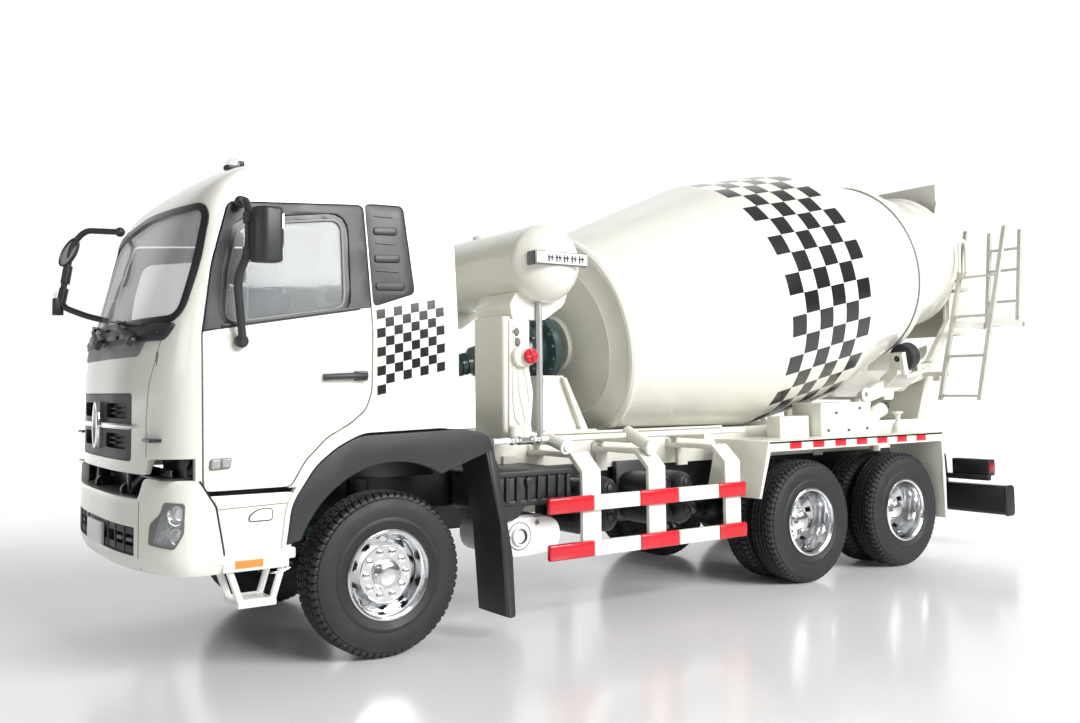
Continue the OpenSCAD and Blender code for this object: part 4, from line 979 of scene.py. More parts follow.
def make_bumper():
    end = BUMPER_LENGTHS[-1]
    rear = [(end - 5.4, 28.4), (end - 5.8, 34), (end - 7.8, 45), (end - 12, 51.7)]
    half = rear + [(38.5, 51.9), (35.6, 46.6)]
    outline = half + [(-u, z) for u, z in half[::-1]]
    shape = Shape().plate(rounded(outline, 1.4, 4), bumper_at, (0, 2.2), "ivory", step=2.5, bevel=0.35)
    skin = shape.finish("bumper_skin", None, None)
    lamp_hole, grille_hole = Shape(), Shape()
    for s in (-1, 1):
        lamp_hole.plate(mirrored(HEADLIGHT, s), bumper_at, (-3, 6), "black", step=3, bevel=0)
    grille_hole.prism(rectangle(-33.6, 32.2, 33.6, 39.4, 0.6), -80, -57, "X", "ivory", 0)
    cut(skin, [lamp_hole, grille_hole])
    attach(skin, "chassis")
    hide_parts("front_bumper")

    parts = Shape()
    # grey shelf on top of the bumper, its grey a painted shade; a black sheet behind it painting the shade of
    # the space above it; and the lower grille
    shelf = [(bumper_at(u, 46)[0] + 1, bumper_at(u, 46)[1]) for u in range(-34, 35, 4)]
    parts.prism(shelf + [(-57, 34), (-57, -34)], 45.2, 46.4, "Z", "trim_grey", 0.3)
    parts.prism(rectangle(-44, 40, 44, 54), -57.4, -56.4, "X", "black", 0.2)
    for s in (-1, 1):
        # black wall and floor in the gap at the corner: painted shade of the gap
        a, b = sorted((s * 30, s * 49.4))
        parts.prism(rectangle(a, 46, b, 61.8), -55.4, -54.6, "X", "black", 0.2)
        parts.box((-61, a, 51.9), (-52, b, 52.3), "black", 0)
        a, b = sorted((s * 37, s * 44))
        parts.box((-62.4, a, 61), (-54, b, 61.8), "black", 0)
    for s in (-1, 1):
        parts.tube([(-58, s * 24, 52), (-60.6, s * 22, 48.6), (-58, s * 20, 46.6)], 1.1, "black", 2, 12)
        seam(parts, [(s * 36.2, 46), (s * 36.2, 29)], bumper_at, "trim_grey", 0.3)
    parts.plate(rectangle(-34.6, 31.8, 34.6, 39.8, 0.4), bumper_at, (1.6, 2.4), "black", step=3, bevel=0.1)
    for z in (33.6, 38.2):
        parts.plate(rectangle(-33.8, z - 0.9, 33.8, z + 0.9), bumper_at, (0.5, 2), "charcoal", step=3,
                    bevel=0.15)
    for s in (-1, 1):
        for u in (12, 19, 26, 33):
            parts.plate(on_side(s, u, 32.4, u + 0.8, 39.2), bumper_at, (0.3, 2), "charcoal", step=4,
                        bevel=0.15)
        for u in (20.5, 27.5):
            parts.plate(on_side(s, u, 35.4, u + 4, 36.4, 0.3), bumper_at, (0.5, 2), "trim_grey", step=4,
                        bevel=0.15)
        # black line along the bumper's rear edge: painted shadow of the gap to the step
        rear = ((5.1, 28.8), (5.5, 34), (7.5, 45), (11.6, 51.6))
        seam(parts, [(s * (end - d), z) for d, z in rear], bumper_at, "black", 0.4)
    parts.plate(rectangle(-8.5, 32.4, 8.5, 38.4, 0.4), bumper_at, (-0.7, 0.4), "plate", step=4, bevel=0.15)
    parts.plate(rectangle(-7.9, 33, 7.9, 37.8, 0.3), bumper_at, (-0.8, 0), "plate", step=4, bevel=0.1)
    parts.finish("bumper_fittings", "chassis", "ivory_paint")


def make_headlights():
    lamps = Shape()
    for s in (-1, 1):
        glass = mirrored(HEADLIGHT, s) if s > 0 else mirrored(HEADLIGHT, s)[::-1]
        lamps.plate(glass, bumper_at, (2.4, 3.2), "chrome", step=3, bevel=0)
        lamps.plate(grown(glass, 0.1), bumper_at, (-0.2, 2.6), "trim_grey", holes=[grown(glass, -0.45)],
                    step=3, bevel=0.12)
        for u, z, r in ((45.4, 38.6, 2.4), (50.3, 43.2, 2.2), (50.6, 38.1, 1.7)):
            p, n = bumper_at(s * u, z), surface_normal(bumper_at, s * u, z)
            turn = Matrix.Translation(p - n * 1.1) @ n.to_track_quat("Z", "Y").to_matrix().to_4x4()
            lamps.lathe([(0, -1.4), (r * 0.6, -1.1), (r, 0.3), (r * 1.12, 0.35), (r * 1.16, -1.3)], "chrome",
                        turn, 32)
            lamps.lathe([(r * 1.12, 0.2), (r * 1.28, 0.1), (r * 1.28, -1.3)], "trim_grey", turn, 32)
            lamps.lathe([(0, 0.1), (r * 0.3, 0.05), (r * 0.42, -0.6), (r * 0.42, -1.2)], "lens", turn, 24)
        for z in (40.5, 41.4, 45.2):
            lamps.plate(on_side(s, 47, z, 52.6, z + 0.3), bumper_at, (0.9, 2.4), "trim_grey", step=3,
                        bevel=0.05)
        lamps.plate(on_side(s, 47.6, 41.6, 48, 46), bumper_at, (0.9, 2.4), "trim_grey", step=3, bevel=0.05)
        lamps.plate(grown(glass, -0.2), bumper_at, (-0.1, 0.3), "glass", step=3, bevel=0.1)
    lamps.finish("headlamp_units", "chassis", "lamp_lens", ["headlights"])


def make_steps():
    step = Shape()
    step.prism(rounded([(-48.9, 33), (-28.8, 33), (-28.4, 47.4), (-51.8, 47.6), (-50.6, 40)], 0.8, 3), -51.6,
               -49.6, "Y", "ivory", 0.35)
    step.prism(rectangle(-48.4, 45.2, -30, 46.6, 0.6), -51.9, -51.5, "Y", "ivory", 0.15)
    step.prism([(-49.4, 44.1), (-29.2, 44.6), (-29.2, 44.8), (-49.4, 44.3)], -51.66, -51.5, "Y", "trim_grey",
               0)
    slot = rounded([(-39.9, 40.8), (-34, 40.8), (-34, 43.5), (-37.4, 43.5), (-39.6, 42.2)], 0.7, 4)
    step.prism(grown(slot, 0.28), -51.75, -51.4, "Y", "black", 0.1)
    step.prism(slot, -51.9, -51.3, "Y", "ivory", 0.12)
    # tread with its raised pads and an orange reflector
    step.box((-49.6, -52.4, 30.6), (-27.8, -38, 33.4), "ivory", 0.5, 3)
    step.box((-46.6, -52.5, 28.6), (-29.6, -38.4, 31.2), "ivory", 0.4, 3)
    for i in range(6):
        for k in range(3):
            x, y = -46.4 + i * 3.1, -50.6 + k * 3.6
            step.box((x, y, 33), (x + 1.7, y + 2.2, 33.9), "white_metal", 0.3)
    step.box((-43.6, -52.6, 29.4), (-36.4, -52.2, 31.4), "orange", 0.12)
    for y in (-50.4, -41):
        step.tube([(-44.6, y, 29.4), (-41.4, y, 20.3), (-33.4, y, 20.3), (-30.6, y, 29.4)], 0.95,
                  "white_metal", 1, 8, 1)
    step.box((-42.4, -51.4, 19.2), (-32.4, -40, 20.8), "white_metal", 0.4)
    step.box((-48.8, -49.8, 33), (-29.2, -42.4, 43), "ivory", 0.4)
    step.box((-48, -49, 43), (-44, -18.2, 45), "black", 0.3)
    step.both_sides()
    step.finish("cab_step_units", "chassis", "ivory_paint", ["cab_steps"])


def make_arches():
    arch = Shape()
    outer = rounded([(-30.4, 34), (-28.6, 45), (-22.6, 53.4), (-16.4, 58.2), (-10, 61.2), (22, 62),
                     (30.4, 60.4), (32.6, 55.6)], 3, 5, closed=False)
    inner = [(29.2 * math.cos(a) + 0.4, AXLE_Z + 30.9 * math.sin(a)) for a in
             (math.radians(60 + 97 * i / 20) for i in range(21))]
    arch.prism(outer + [(29.6, 54.6)] + inner, -52.5, -50.8, "Y", "charcoal", 0.4, 3)
    under = [(x + (0.9 if x < -12 else 0.2), z - 1.6) for x, z in outer[::-1]]
    arch.prism(outer + under, -51.2, -37.4, "Y", "charcoal", 0.3)
    # mud flap behind the wheel
    flap = rounded([(29.4, 57), (32.4, 57), (36.2, 33), (37.8, 7.6), (36.6, 6.2), (34.6, 33)], 0.8, 3)
    arch.prism(flap, -52.3, -36.6, "Y", "charcoal", 0.4, 3)
    arch.prism(rounded([(30.4, 56), (33.6, 52), (38.8, 24), (39.6, 6.4), (37.2, 6.2), (35.2, 30)], 0.8, 3),
               -52.5, -51.3, "Y", "charcoal", 0.3)
    arch.box((2, -39.6, 55.6), (8, -18, 57.2), "black", 0.3)
    arch.box((2, -19.4, 40), (8, -18.1, 57), "black", 0.3)
    # dark inner wall above the tyre
    arch.box((-24, -26, 47), (27, -24.8, 60.2), "black", 0.3)
    for x in (-20, -10, 12, 22):
        arch.box((x, -38, 58), (x + 1.6, -24.9, 60), "black", 0.3)
    arch.both_sides()
    arch.finish("wheel_arch_liners", "chassis", "charcoal_plastic", ["wheel_arches"])


def make_arch_lips():
    """The white lip between the cab and each arch."""
    lip = Shape()
    line = rounded([(-31.6, 33.6), (-30.2, 44.8), (-23.8, 54.4), (-17.6, 59.2), (-11, 62.2), (-6, 62.9)], 3,
                   5, closed=False)
    back = [(x + 1.3, z - 0.7) for x, z in line[::-1]]
    lip.prism(line + back, -52.2, -49.6, "Y", "ivory", 0.3)
    lip.both_sides()
    lip.finish("arch_lips", "chassis", "ivory_paint")


# ---------------------------------------------------------------- Wheels
TREAD_R = 22.7


def tyre_profile(w):
    """Half outline of a tyre's section from bead to bead, as (radius, height)."""
    half = [(11.9, 0.9), (12.6, 0.5), (14.2, 0.35), (14.6, 0.1), (15.2, 0.1), (15.6, 0.3), (17.6, 0.0),
            (19.4, 0.25), (20.2, 0.5), (20.6, 0.55), (21.0, 0.95), (21.7, 1.1), (22.45, 1.9), (22.65, 2.6)]
    grooves = []
    for g in (0.28, 0.43, 0.57, 0.72):
        c = w * g
        grooves += [(TREAD_R, c - 0.42), (22.0, c - 0.32), (22.0, c + 0.32), (TREAD_R, c + 0.42)]
    return half + grooves + [(r, w - h) for r, h in half[::-1]]


def add_tyre(shape, place, w, lugs=64):
    """A tyre with lugs cut into its shoulders and a zigzag in its tread."""
    profile = tyre_profile(w)
    scale = TYRE_R / TREAD_R
    profile = [(r * scale, h) for r, h in profile]
    middle = w / 2

    def ripple(k, i):
        if i >= len(profile):
            return 1
        r, h = profile[i]
        gap = k % 5 == 0
        shoulder = r > 20.9 * scale and abs(h - middle) > w * 0.26
        block = r > 22.5 * scale and (k + (2 if h > middle else 0)) % 5 == 0
        return 1 - (0.035 if (gap and shoulder) else 0.018 if block else 0)
    shape.lathe(profile + [(12.1, w - 0.9), (11.7, w / 2), (12.1, 0.9)], "tyre", place, lugs * 5, ripple,
                closed=True)


def wheel_place(x, side):
    return at(x, 0, AXLE_Z) @ turned(-90 * side, "X")


def add_nut(shape, place, r, z, a, size=0.95):
    spot = place @ Matrix.Rotation(a, 4, "Z") @ at(r, 0, z)
    hexagon = [(size * math.cos(math.pi * k / 3), size * math.sin(math.pi * k / 3)) for k in range(6)]
    shape.lathe([(0, -0.4), (size * 1.25, -0.4), (size * 1.25, 0.15), (0, 0.15)], "chrome", spot, 20)
    shape.prism(hexagon, 0, 0.75, "Z", "chrome", 0.12, 2, spot)
    shape.lathe([(size * 0.55, 0.5), (size * 0.5, 1.15), (0, 1.25)], "chrome", spot, 16)


def add_holed_disc(shape, place, r0, r1, z0, z1, thick, hole_r, hole_a, hole_b, count=10, start=0.0):
    """A conical ring from (r0, z0) to (r1, z1) with oval holes at hole_r, built as one sheet with two faces."""
    bm = bmesh.new()
    turns, rows = count * 12, 7
    grid = []
    for i in range(rows + 1):
        t = i / rows
        grid.append([(r0 + (r1 - r0) * t, 2 * math.pi * k / turns + start) for k in range(turns)])

    def hole_distance(r, a):
        """Distance from the nearest hole's centre, 1 at its rim."""
        step = 2 * math.pi / count
        da = (a - start) % step
        da = da - step if da > step / 2 else da
        return math.hypot(da * hole_r / hole_a, (r - hole_r) / hole_b)

    top = [[bm.verts.new((r * math.cos(a), r * math.sin(a), z0 + (z1 - z0) * i / rows)) for r, a in row]
           for i, row in enumerate(grid)]
    low = [[bm.verts.new((v.co.x, v.co.y, v.co.z - thick)) for v in row] for row in top]
    solid = {}
    for i in range(rows):
        for k in range(turns):
            r = (grid[i][k][0] + grid[i + 1][k][0]) / 2
            a = grid[i][k][1] + math.pi / turns
            solid[i, k] = hole_distance(r, a) > 1
    for (i, k), keep_face in solid.items():
        if not keep_face:
            continue
        j = (k + 1) % turns
        bm.faces.new((top[i][k], top[i][j], top[i + 1][j], top[i + 1][k]))
        bm.faces.new((low[i][k], low[i + 1][k], low[i + 1][j], low[i][j]))
        for a, b, other in ((0, 0, (i - 1, k)), (1, 0, (i + 1, k)), (0, 1, (i, (k - 1) % turns)),
                            (0, 2, (i, j))):
            if solid.get(other, other[0] < 0 or other[0] >= rows) and 0 <= other[0] < rows:
                continue
            if b == 0:
                row = i + a
                bm.faces.new((top[row][k], top[row][j], low[row][j], low[row][k]))
            else:
                col = k if b == 1 else j
                bm.faces.new((top[i][col], top[i + 1][col], low[i + 1][col], low[i][col]))
    loose = [v for v in bm.verts if not v.link_faces]
    bmesh.ops.delete(bm, geom=loose, context="VERTS")
    shape.add(bm, "chrome", place=place)


def make_front_wheel(name, side):
    place = wheel_place(0, side)
    w, o = 12.5, FRONT_HALF_W
    tyre = Shape()
    add_tyre(tyre, place @ at(0, 0, o - w), w)
    tyre.finish("front_tyre_" + name, "front_wheel_" + name, "tyre_rubber", ["tyre_front_" + name])
    rim = Shape()
    rim.lathe([(11.9, o - w + 0.9), (12.2, o - w + 0.4), (11.5, o - w + 0.6), (10.8, o - 6), (10.5, o - 5),
               (10.6, o - 3.4), (10.9, o - 1.2), (11.3, o - 0.4), (11.9, o - 0.05), (12.35, o - 0.3),
               (12.2, o - 0.9), (11.8, o - 1.2), (11.5, o - 3)], "chrome", place, 96)
    add_holed_disc(rim, place, 7.9, 10.65, o - 2.6, o - 5.4, 0.6, 9.35, 1.25, 0.85, 10, math.pi / 10)
    rim.lathe([(0, o - 2.2), (4.0, o - 2.2), (4.2, o - 2.5), (7.6, o - 2.5), (8.0, o - 2.8), (7.9, o - 3.4),
               (0, o - 3.4)], "chrome", place, 64)
    rim.lathe([(0, o - 0.1), (1.6, o - 0.15), (3.1, o - 0.35), (3.7, o - 0.8), (3.85, o - 2.3), (0, o - 2.3)],
              "chrome", place, 48)
    for i in range(10):
        add_nut(rim, place, 6.05, o - 2.5, math.pi / 5 * i)
    rim.lathe([(0, o - w + 0.4), (4.4, o - w + 0.4), (4.4, o - 4), (0, o - 4)], "charcoal", place, 40)
    rim.lathe([(10.7, o - w + 1), (10.2, o - w + 1), (10.0, o - 6), (10.5, o - 6)], "black", place, 64)
    rim.finish("front_rim_" + name, "front_wheel_" + name, "chrome_rim", ["rim_front_" + name])


def make_rear_wheels(pair, x, name, side):
    place = wheel_place(x, side)
    w, o, body = 11.5, REAR_HALF_W, f"{pair}_wheels_{name}"
    inner = o - 2 * w - 2
    tyres = Shape()
    for start in (o - w, inner):
        add_tyre(tyres, place @ at(0, 0, start), w)
    tyres.finish(f"{pair}_tyres_{name}", body, "tyre_rubber", [f"tyres_{pair}_{name}"])
    rims = Shape()
    rims.lathe([(11.9, inner + 0.9), (12.2, inner + 0.4), (11.2, inner + 0.6), (10.6, inner + 5),
                (10.6, o - 8), (10.9, o - 1.6), (11.3, o - 0.5), (11.9, o - 0.1), (12.5, o - 0.3),
                (12.3, o - 0.9), (11.8, o - 1.3), (11.6, o - 4), (11.6, inner + 4)], "chrome", place, 96)
    add_holed_disc(rims, place, 8.2, 10.7, o - 11.4, o - 8.6, 0.7, 9.6, 1.2, 0.8, 10, math.pi / 10)
    rims.lathe([(0, o - 11), (7.8, o - 11), (8.3, o - 11.5), (8.2, o - 12.2), (0, o - 12.2)], "chrome",
               place, 64)
    rims.lathe([(0, o - 3.4), (2.2, o - 3.5), (3.2, o - 4.0), (3.4, o - 6), (4.0, o - 6.4), (4.2, o - 8.6),
                (5.0, o - 9), (5.2, o - 11.2), (0, o - 11.2)], "chrome", place, 48)
    for i in range(10):
        add_nut(rims, place, 6.7, o - 11, math.pi / 5 * i)
    for i in range(8):
        add_nut(rims, place, 4.55, o - 8.9, math.pi / 4 * i, 0.5)
    rims.lathe([(0, inner + 0.3), (6, inner + 0.3), (6, o - 13), (0, o - 13)], "charcoal", place, 40)
    rims.finish(f"{pair}_rims_{name}", body, "chrome_rim", [f"rims_{pair}_{name}"])


# ---------------------------------------------------------------- Drum, tank and stand
def drum_place():
    return Matrix.Translation(DRUM_ORIGIN) @ Matrix.Rotation(math.pi / 2 - DRUM_TILT, 4, "Y")


def make_drum():
    drum = Shape()
    # (radius, distance along the axis): dished head with rings, rolled rim, cone, barrel, rear cone, mouth
    head_r, barrel_r, ring_r, mouth_r = 37.5, 51.1, 40.3, 30.4
    barrel_start, barrel_end, ring_middle, mouth_start = 67, 116.7, 166.5, 202.6
    head = [(0, -7.2), (4, -7.2), (9.4, -7.0), (9.8, -6.0), (10.4, -5.6), (20, -4.2), (27.4, -2.9),
            (28, -3.3), (28.6, -2.8), (33.4, -1.4), (35.2, -1.0), (36.2, -1.3), (37.2, -0.9), (37.9, 0.1),
            (37.9, 1.2), (37.6, 2.0), (37.75, 3.2)]
    shares = [0.1 + 0.84 * i / 12 for i in range(13)]
    cone = [(head_r + (barrel_r - head_r) * t, barrel_start * t) for t in shares]
    knee = [(50.75, 65.2), (51.0, 66.6), (barrel_r, 68.4)]
    barrel = [(barrel_r, s) for s in (80, 92, 104, 115)]
    slope = (ring_r - barrel_r) / (ring_middle - barrel_end)
    rear = [(51.02, 117.2), (50.7, 119)]
    rear += [(barrel_r + slope * (s - barrel_end), s) for s in range(122, 164, 6)]
    seam_ring = [(40.75, 164.2), (40.45, 164.5), (40.45, 165.0), (40.75, 165.3), (40.3, 168.6)]
    neck_slope = (mouth_r - ring_r) / (mouth_start - ring_middle)
    neck = [(ring_r + neck_slope * (s - ring_middle), s) for s in (174, 182, 190, 198, 202)]
    mouth = [(30.6, 203.4), (31.2, 204.6), (31.8, 205.2), (31.8, 208.2), (31.4, 208.6), (29.4, 208.6),
             (29.0, 208.0)]
    inner = [(29.0, 202), (38.8, ring_middle), (49.4, barrel_end), (49.4, barrel_start), (36, 2), (30, -0.8),
             (8, -3.6), (0, -3.6)]
    drum.lathe(head + cone + knee + barrel + rear + seam_ring + neck + mouth + inner, "drum", drum_place(),
               160)
    drum.finish("drum_skin", "drum", "ivory_paint", ["drum_shell"], smooth=24)
    ring = Shape()
    ring.lathe([(40.4, 164), (41.0, 164), (41.1, 164.2), (41.1, 164.6), (40.9, 164.8)], "trim_grey",
               drum_place(), 160)
    ring.lathe([(40.9, 164.8), (41.2, 165), (41.2, 168.7), (41.0, 169), (40.0, 169), (40.0, 164.8)], "ivory",
               drum_place(), 160)
    ring.finish("drum_track", "drum", "ivory_paint", ["track_ring"], smooth=24)


TANK_X, TANK_Z, TANK_R = 60.8, 113.7, 12.7


def tank_place():
    """The middle of the tank, with Z along it to the left."""
    return at(TANK_X, 0, TANK_Z) @ turned(90, "X")


def make_tank():
    tank = Shape()
    r, half, dome = TANK_R, 40.0, 8.6
    big = (r * r + dome * dome) / (2 * dome)
    edge = math.asin(r / big)
    angles = [edge * i / 14 for i in range(14)]
    end = [(big * math.sin(a), half + dome - big * (1 - math.cos(a))) for a in angles]
    end += [(r - 0.15, half + 0.35), (r, half - 0.4)]
    seam_line = [(r, half - 1.2), (r - 0.12, half - 1.4), (r, half - 1.6)]
    profile = end + seam_line + [(r, 20), (r, 0)]
    profile += [(a, -b) for a, b in profile[-2::-1]]
    tank.lathe(profile, "ivory", tank_place(), 96)
    tank.lathe([(0, 14.1), (2.5, 14.1), (2.9, 13.8), (3, 11), (0, 11)], "ivory", at(TANK_X, 0, TANK_Z - 0.4),
               40)
    tank.tube([(59.4, 0, 127.2), (62.2, 0, 127.2)], 0.5, "black", 1, 8)
    # label plate on its bracket: a dark edge and plain raised bars in place of words
    y = -49.5
    tank.box((50.2, y + 0.5, 111.9), (70.6, y + 1.3, 116.2), "trim_grey", 0.1)
    tank.box((50.6, y, 112.3), (70.3, y + 0.9, 115.9), "plate", 0.15)
    tank.box((50.2, y + 0.6, 111.9), (51, y + 5, 116.2), "trim_grey", 0.1)
    for i in range(5):
        x = 55 + i * 3
        for a, b, low, high in ((0, 0.35, 112.9, 115.3), (1.2, 1.5, 113.2, 115.1),
                                (-0.3, 1.9, 114.1, 114.45)):
            tank.box((x + a, y - 0.2, low), (x + b, y + 0.1, high), "black", 0.05)
    tank.box((52, y + 1, 112.6), (69, -42, 115.2), "ivory", 0.3)
    tank.finish("water_tank_shell", "chassis", "ivory_paint", ["water_tank"], smooth=26)


def make_tank_stand():
    stand = Shape()
    saddle = rounded([(49.6, 95.4), (62, 95.4), (69.6, 100.4), (71.4, 104.4), (51.2, 104.4), (48.6, 100)],
                     1.0, 4)
    for s in (-1, 1):
        a, b = sorted((s * 18, s * 36))
        column = rounded([(46.6, a), (57, a), (57, b), (46.6, b)], 1.3, 4)
        stand.prism(column, 58, 96.4, "Z", "ivory", 0.3, 3)
        a, b = sorted((s * 17, s * 39))
        stand.box((47.4, a, 58.2), (56.4, b, 59.6), "ivory", 0.3)
    ends = Shape()
    for low in (-37, 16):
        ends.prism(saddle, low, low + 21, "Y", "ivory", 0.6, 3)
    ends.box((54, -18, 96.5), (60, 18, 99.5), "ivory", 0.4)
    body = ends.finish("tank_saddle", None, None)
    r = TANK_R + 0.02
    hollow = Shape().lathe([(0, -60), (r, -60), (r, 60), (0, 60)], "ivory", tank_place(), 96)
    cut(body, [hollow])
    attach(body, "chassis")
    # side plate with its pipes and valves in relief
    y = -36.2
    plate = rounded([(48.2, 60), (56.4, 60), (57.6, 72), (56, 80), (56.4, 95.6), (48.6, 95.6)], 1.4, 4)
    stand.prism(plate, y - 0.5, y + 0.4, "Y", "ivory", 0.25, 3)
    y -= 0.5
    for pipe in ([(50.2, y, 93.4), (50.2, y, 86), (49.8, y, 70), (50.6, y, 63.6), (53, y, 61.6)],
                 [(51.8, y, 82), (52.2, y, 72), (53.8, y, 66), (54.4, y, 62.6)],
                 [(53.6, y, 80), (55.2, y, 76), (56, y, 69)]):
        stand.tube(pipe, 0.45, "ivory", 2, 8)
        shadow = [(x + 0.55, y + 0.25, z - 0.2) for x, y, z in pipe]
        stand.tube(shadow, 0.22, "trim_grey", 2, 6)
    for x, z in ((51, 91.4), (51.4, 88.2)):
        stand.lathe([(0, 0.9), (0.9, 0.8), (1.2, 0.1), (1.45, 0)], "trim_grey",
                    at(x, y, z) @ turned(90, "X"), 20)
    cap = at(54.4, y, 83.6) @ turned(90, "X") @ Matrix.Scale(1.25, 4)
    stand.lathe([(0, 2.6), (2.5, 2.6), (2.8, 2.3), (2.8, 0), (0, 0)], "ivory", cap @ at(-1.4, 0, -1), 32)
    stand.lathe([(0, 2.4), (1.9, 2.4), (2.25, 2.1), (2.3, 1.0), (2.5, 0.9), (2.5, 0), (0, 0)], "ivory", cap,
                32)
    stand.lathe([(0, 3.4), (1.7, 3.35), (2.0, 3.0), (2.05, 1.8), (0, 1.8)], "red", cap, 32)
    for a in (0, 90):
        bar = cap @ turned(a + 20, "Z")
        stand.prism(rectangle(-1.7, -0.28, 1.7, 0.28), 3.3, 3.75, "Z", "red", 0.1, 2, bar)
    # bright pole and the pipes at its foot
    stand.tube([(59.2, -38, 56), (59.2, -38, 101.6)], 1.0, "pole", 1, 20)
    stand.tube([(61.4, -34.6, 57.6), (61.4, -34.6, 101)], 0.35, "ivory", 1, 10)
    stand.tube([(36, -46, 57.4), (58, -42, 57.4)], 0.9, "white_metal", 1, 14)
    stand.tube([(46.4, -44.4, 57.2), (52.4, -43.2, 57.2)], 1.2, "steel", 1, 14)
    for x in (44, 47, 52, 55):
        stand.ball((x, -44.6 + (x - 44) * 0.18, 57.4), 1.35, "steel")
    stand.tube([(64, -36, 57), (64, -45.4, 54.6)], 1.9, "ivory", 1, 24)
    stand.lathe([(0, 1.0), (1.1, 0.9), (1.3, 0.3), (2.2, 0.2), (2.3, 0), (0, 0)], "white_metal",
                at(64, -45.4, 54.6) @ turned(100, "X"), 28)
    stand.tube([(97, -36, 58), (97, -48.4, 53.4)], 2.3, "ivory", 1, 28)
    stand.lathe([(0, 1.1), (2.2, 0.9), (2.7, 0.3), (2.7, 0), (0, 0)], "white_metal",
                at(97, -48.4, 53.4) @ turned(102, "X"), 32)
    for x in (50.5, 54):
        stand.lathe([(0, 4.4), (1.9, 4.3), (2.3, 3.8), (2.3, 0), (0, 0)], "ivory", at(x - 3, -41, 57.6), 28)
    stand.finish("tank_stand_column", "chassis", "ivory_paint", ["tank_stand"])


# ---------------------------------------------------------------- Boxes and guards
POSTS = (69.9, 97.3, 132.6)


def make_guards():
    posts = Shape()
    outer = [(20, 52.8), (44.4, 52.8), (50.8, 47.3), (50.8, 20.6)]
    inner = [(49.2, 20.6), (49.2, 46.5), (43.5, 51.1), (20, 51.1)]
    for x in POSTS:
        posts.prism([(-y, z) for y, z in outer + inner], x - 3.7, x + 3.7, "X", "ivory", 0.25, 2)
        posts.box((x - 3.4, -21.4, 50.4), (x + 3.4, -19.6, 54.2), "ivory", 0.2)
        posts.box((x - 1.4, -38.4, 54.4), (x + 1.4, -20, 56.6), "ivory", 0.2)
        for z in (23.3, 37.4):
            for dx in (-1.9, 1.9):
                posts.lathe([(0, 0.5), (0.7, 0.4), (0.8, 0), (0, 0)], "ivory",
                            at(x + dx, -49.2, z) @ turned(-90, "X"), 12)
    posts.both_sides()
    posts.finish("guard_post_strips", "chassis", "guard_paint", ["guard_posts"])
    rails = Shape()
    stops = [52.2, 69.6, 88.5, 105.5, 124.1, 137.6]
    for z in (20.8, 34.9):
        for i in range(5):
            x0, x1 = stops[i], stops[i + 1]
            red = i % 2 == 0
            grow = 0.0 if red else 0.12
            rails.box((x0, -52.6 + grow, z + grow), (x1, -50.7, z + 5 - grow), "red" if red else "ivory",
                      0.7 if red else 0.35, 3)
    rails.both_sides()
    rails.finish("guard_rail_blocks", "chassis", "guard_paint", ["guard_rails"])


def make_side_boxes():
    """The battery box on the left and the fuel tank on the right."""
    box = Shape()
    body = rounded([(36.6, 47), (36.6, 36.4), (41.6, 33.4), (44.4, 34.6), (46.6, 37.6), (63.8, 38),
                    (63.8, 47)], 0.8, 3)
    box.prism(body, -47.6, -20.4, "Y", "charcoal", 0.5, 3)
    box.prism(rounded([(36, 46.8), (64.4, 46.8), (64, 48.4), (36.6, 48.4)], 0.6, 3), -48.6, -20.2, "Y",
              "charcoal", 0.4)
    for x in (39, 42.8, 46.8, 50.6, 54.4, 58.2, 61.6):
        box.prism(rounded([(x, 39), (x + 1.7, 39), (x + 1.5, 46.6), (x + 0.2, 46.6)], 0.4, 2), -48.6, -47.2,
                  "Y", "charcoal", 0.25)
    box.box((37.4, -48.2, 38.2), (63.2, -47.2, 39.6), "charcoal", 0.3)
    box.box((46.4, -48.9, 44.2), (49.6, -47.4, 46.2), "charcoal", 0.3)
    box.box((38, -46, 33.4), (42, -22, 37), "charcoal", 0.4)
    # fuel tank on the right
    tank = rounded([(36.6, 25), (40, 22.2), (88.6, 22.2), (92, 25), (92, 43), (88.6, 46), (40, 46),
                    (36.6, 43)], 2.4, 5)
    box.prism(tank, 20.6, 46.8, "Y", "charcoal", 1.2, 4)
    for x in (42, 84):
        box.box((x, 19.2, 21.4), (x + 2.4, 47.7, 22.2), "white_metal", 0.2)
        box.box((x, 46.8, 21.6), (x + 2.4, 47.7, 46.6), "white_metal", 0.2)
        box.box((x, 19.2, 46), (x + 2.4, 47.6, 46.8), "white_metal", 0.2)
    box.lathe([(0, 2.2), (2.8, 2.1), (3.1, 1.6), (3.1, 0), (0, 0)], "charcoal", at(56, 38, 46), 32)
    box.finish("battery_and_fuel_boxes", "chassis", "black_frame", ["battery_box"])


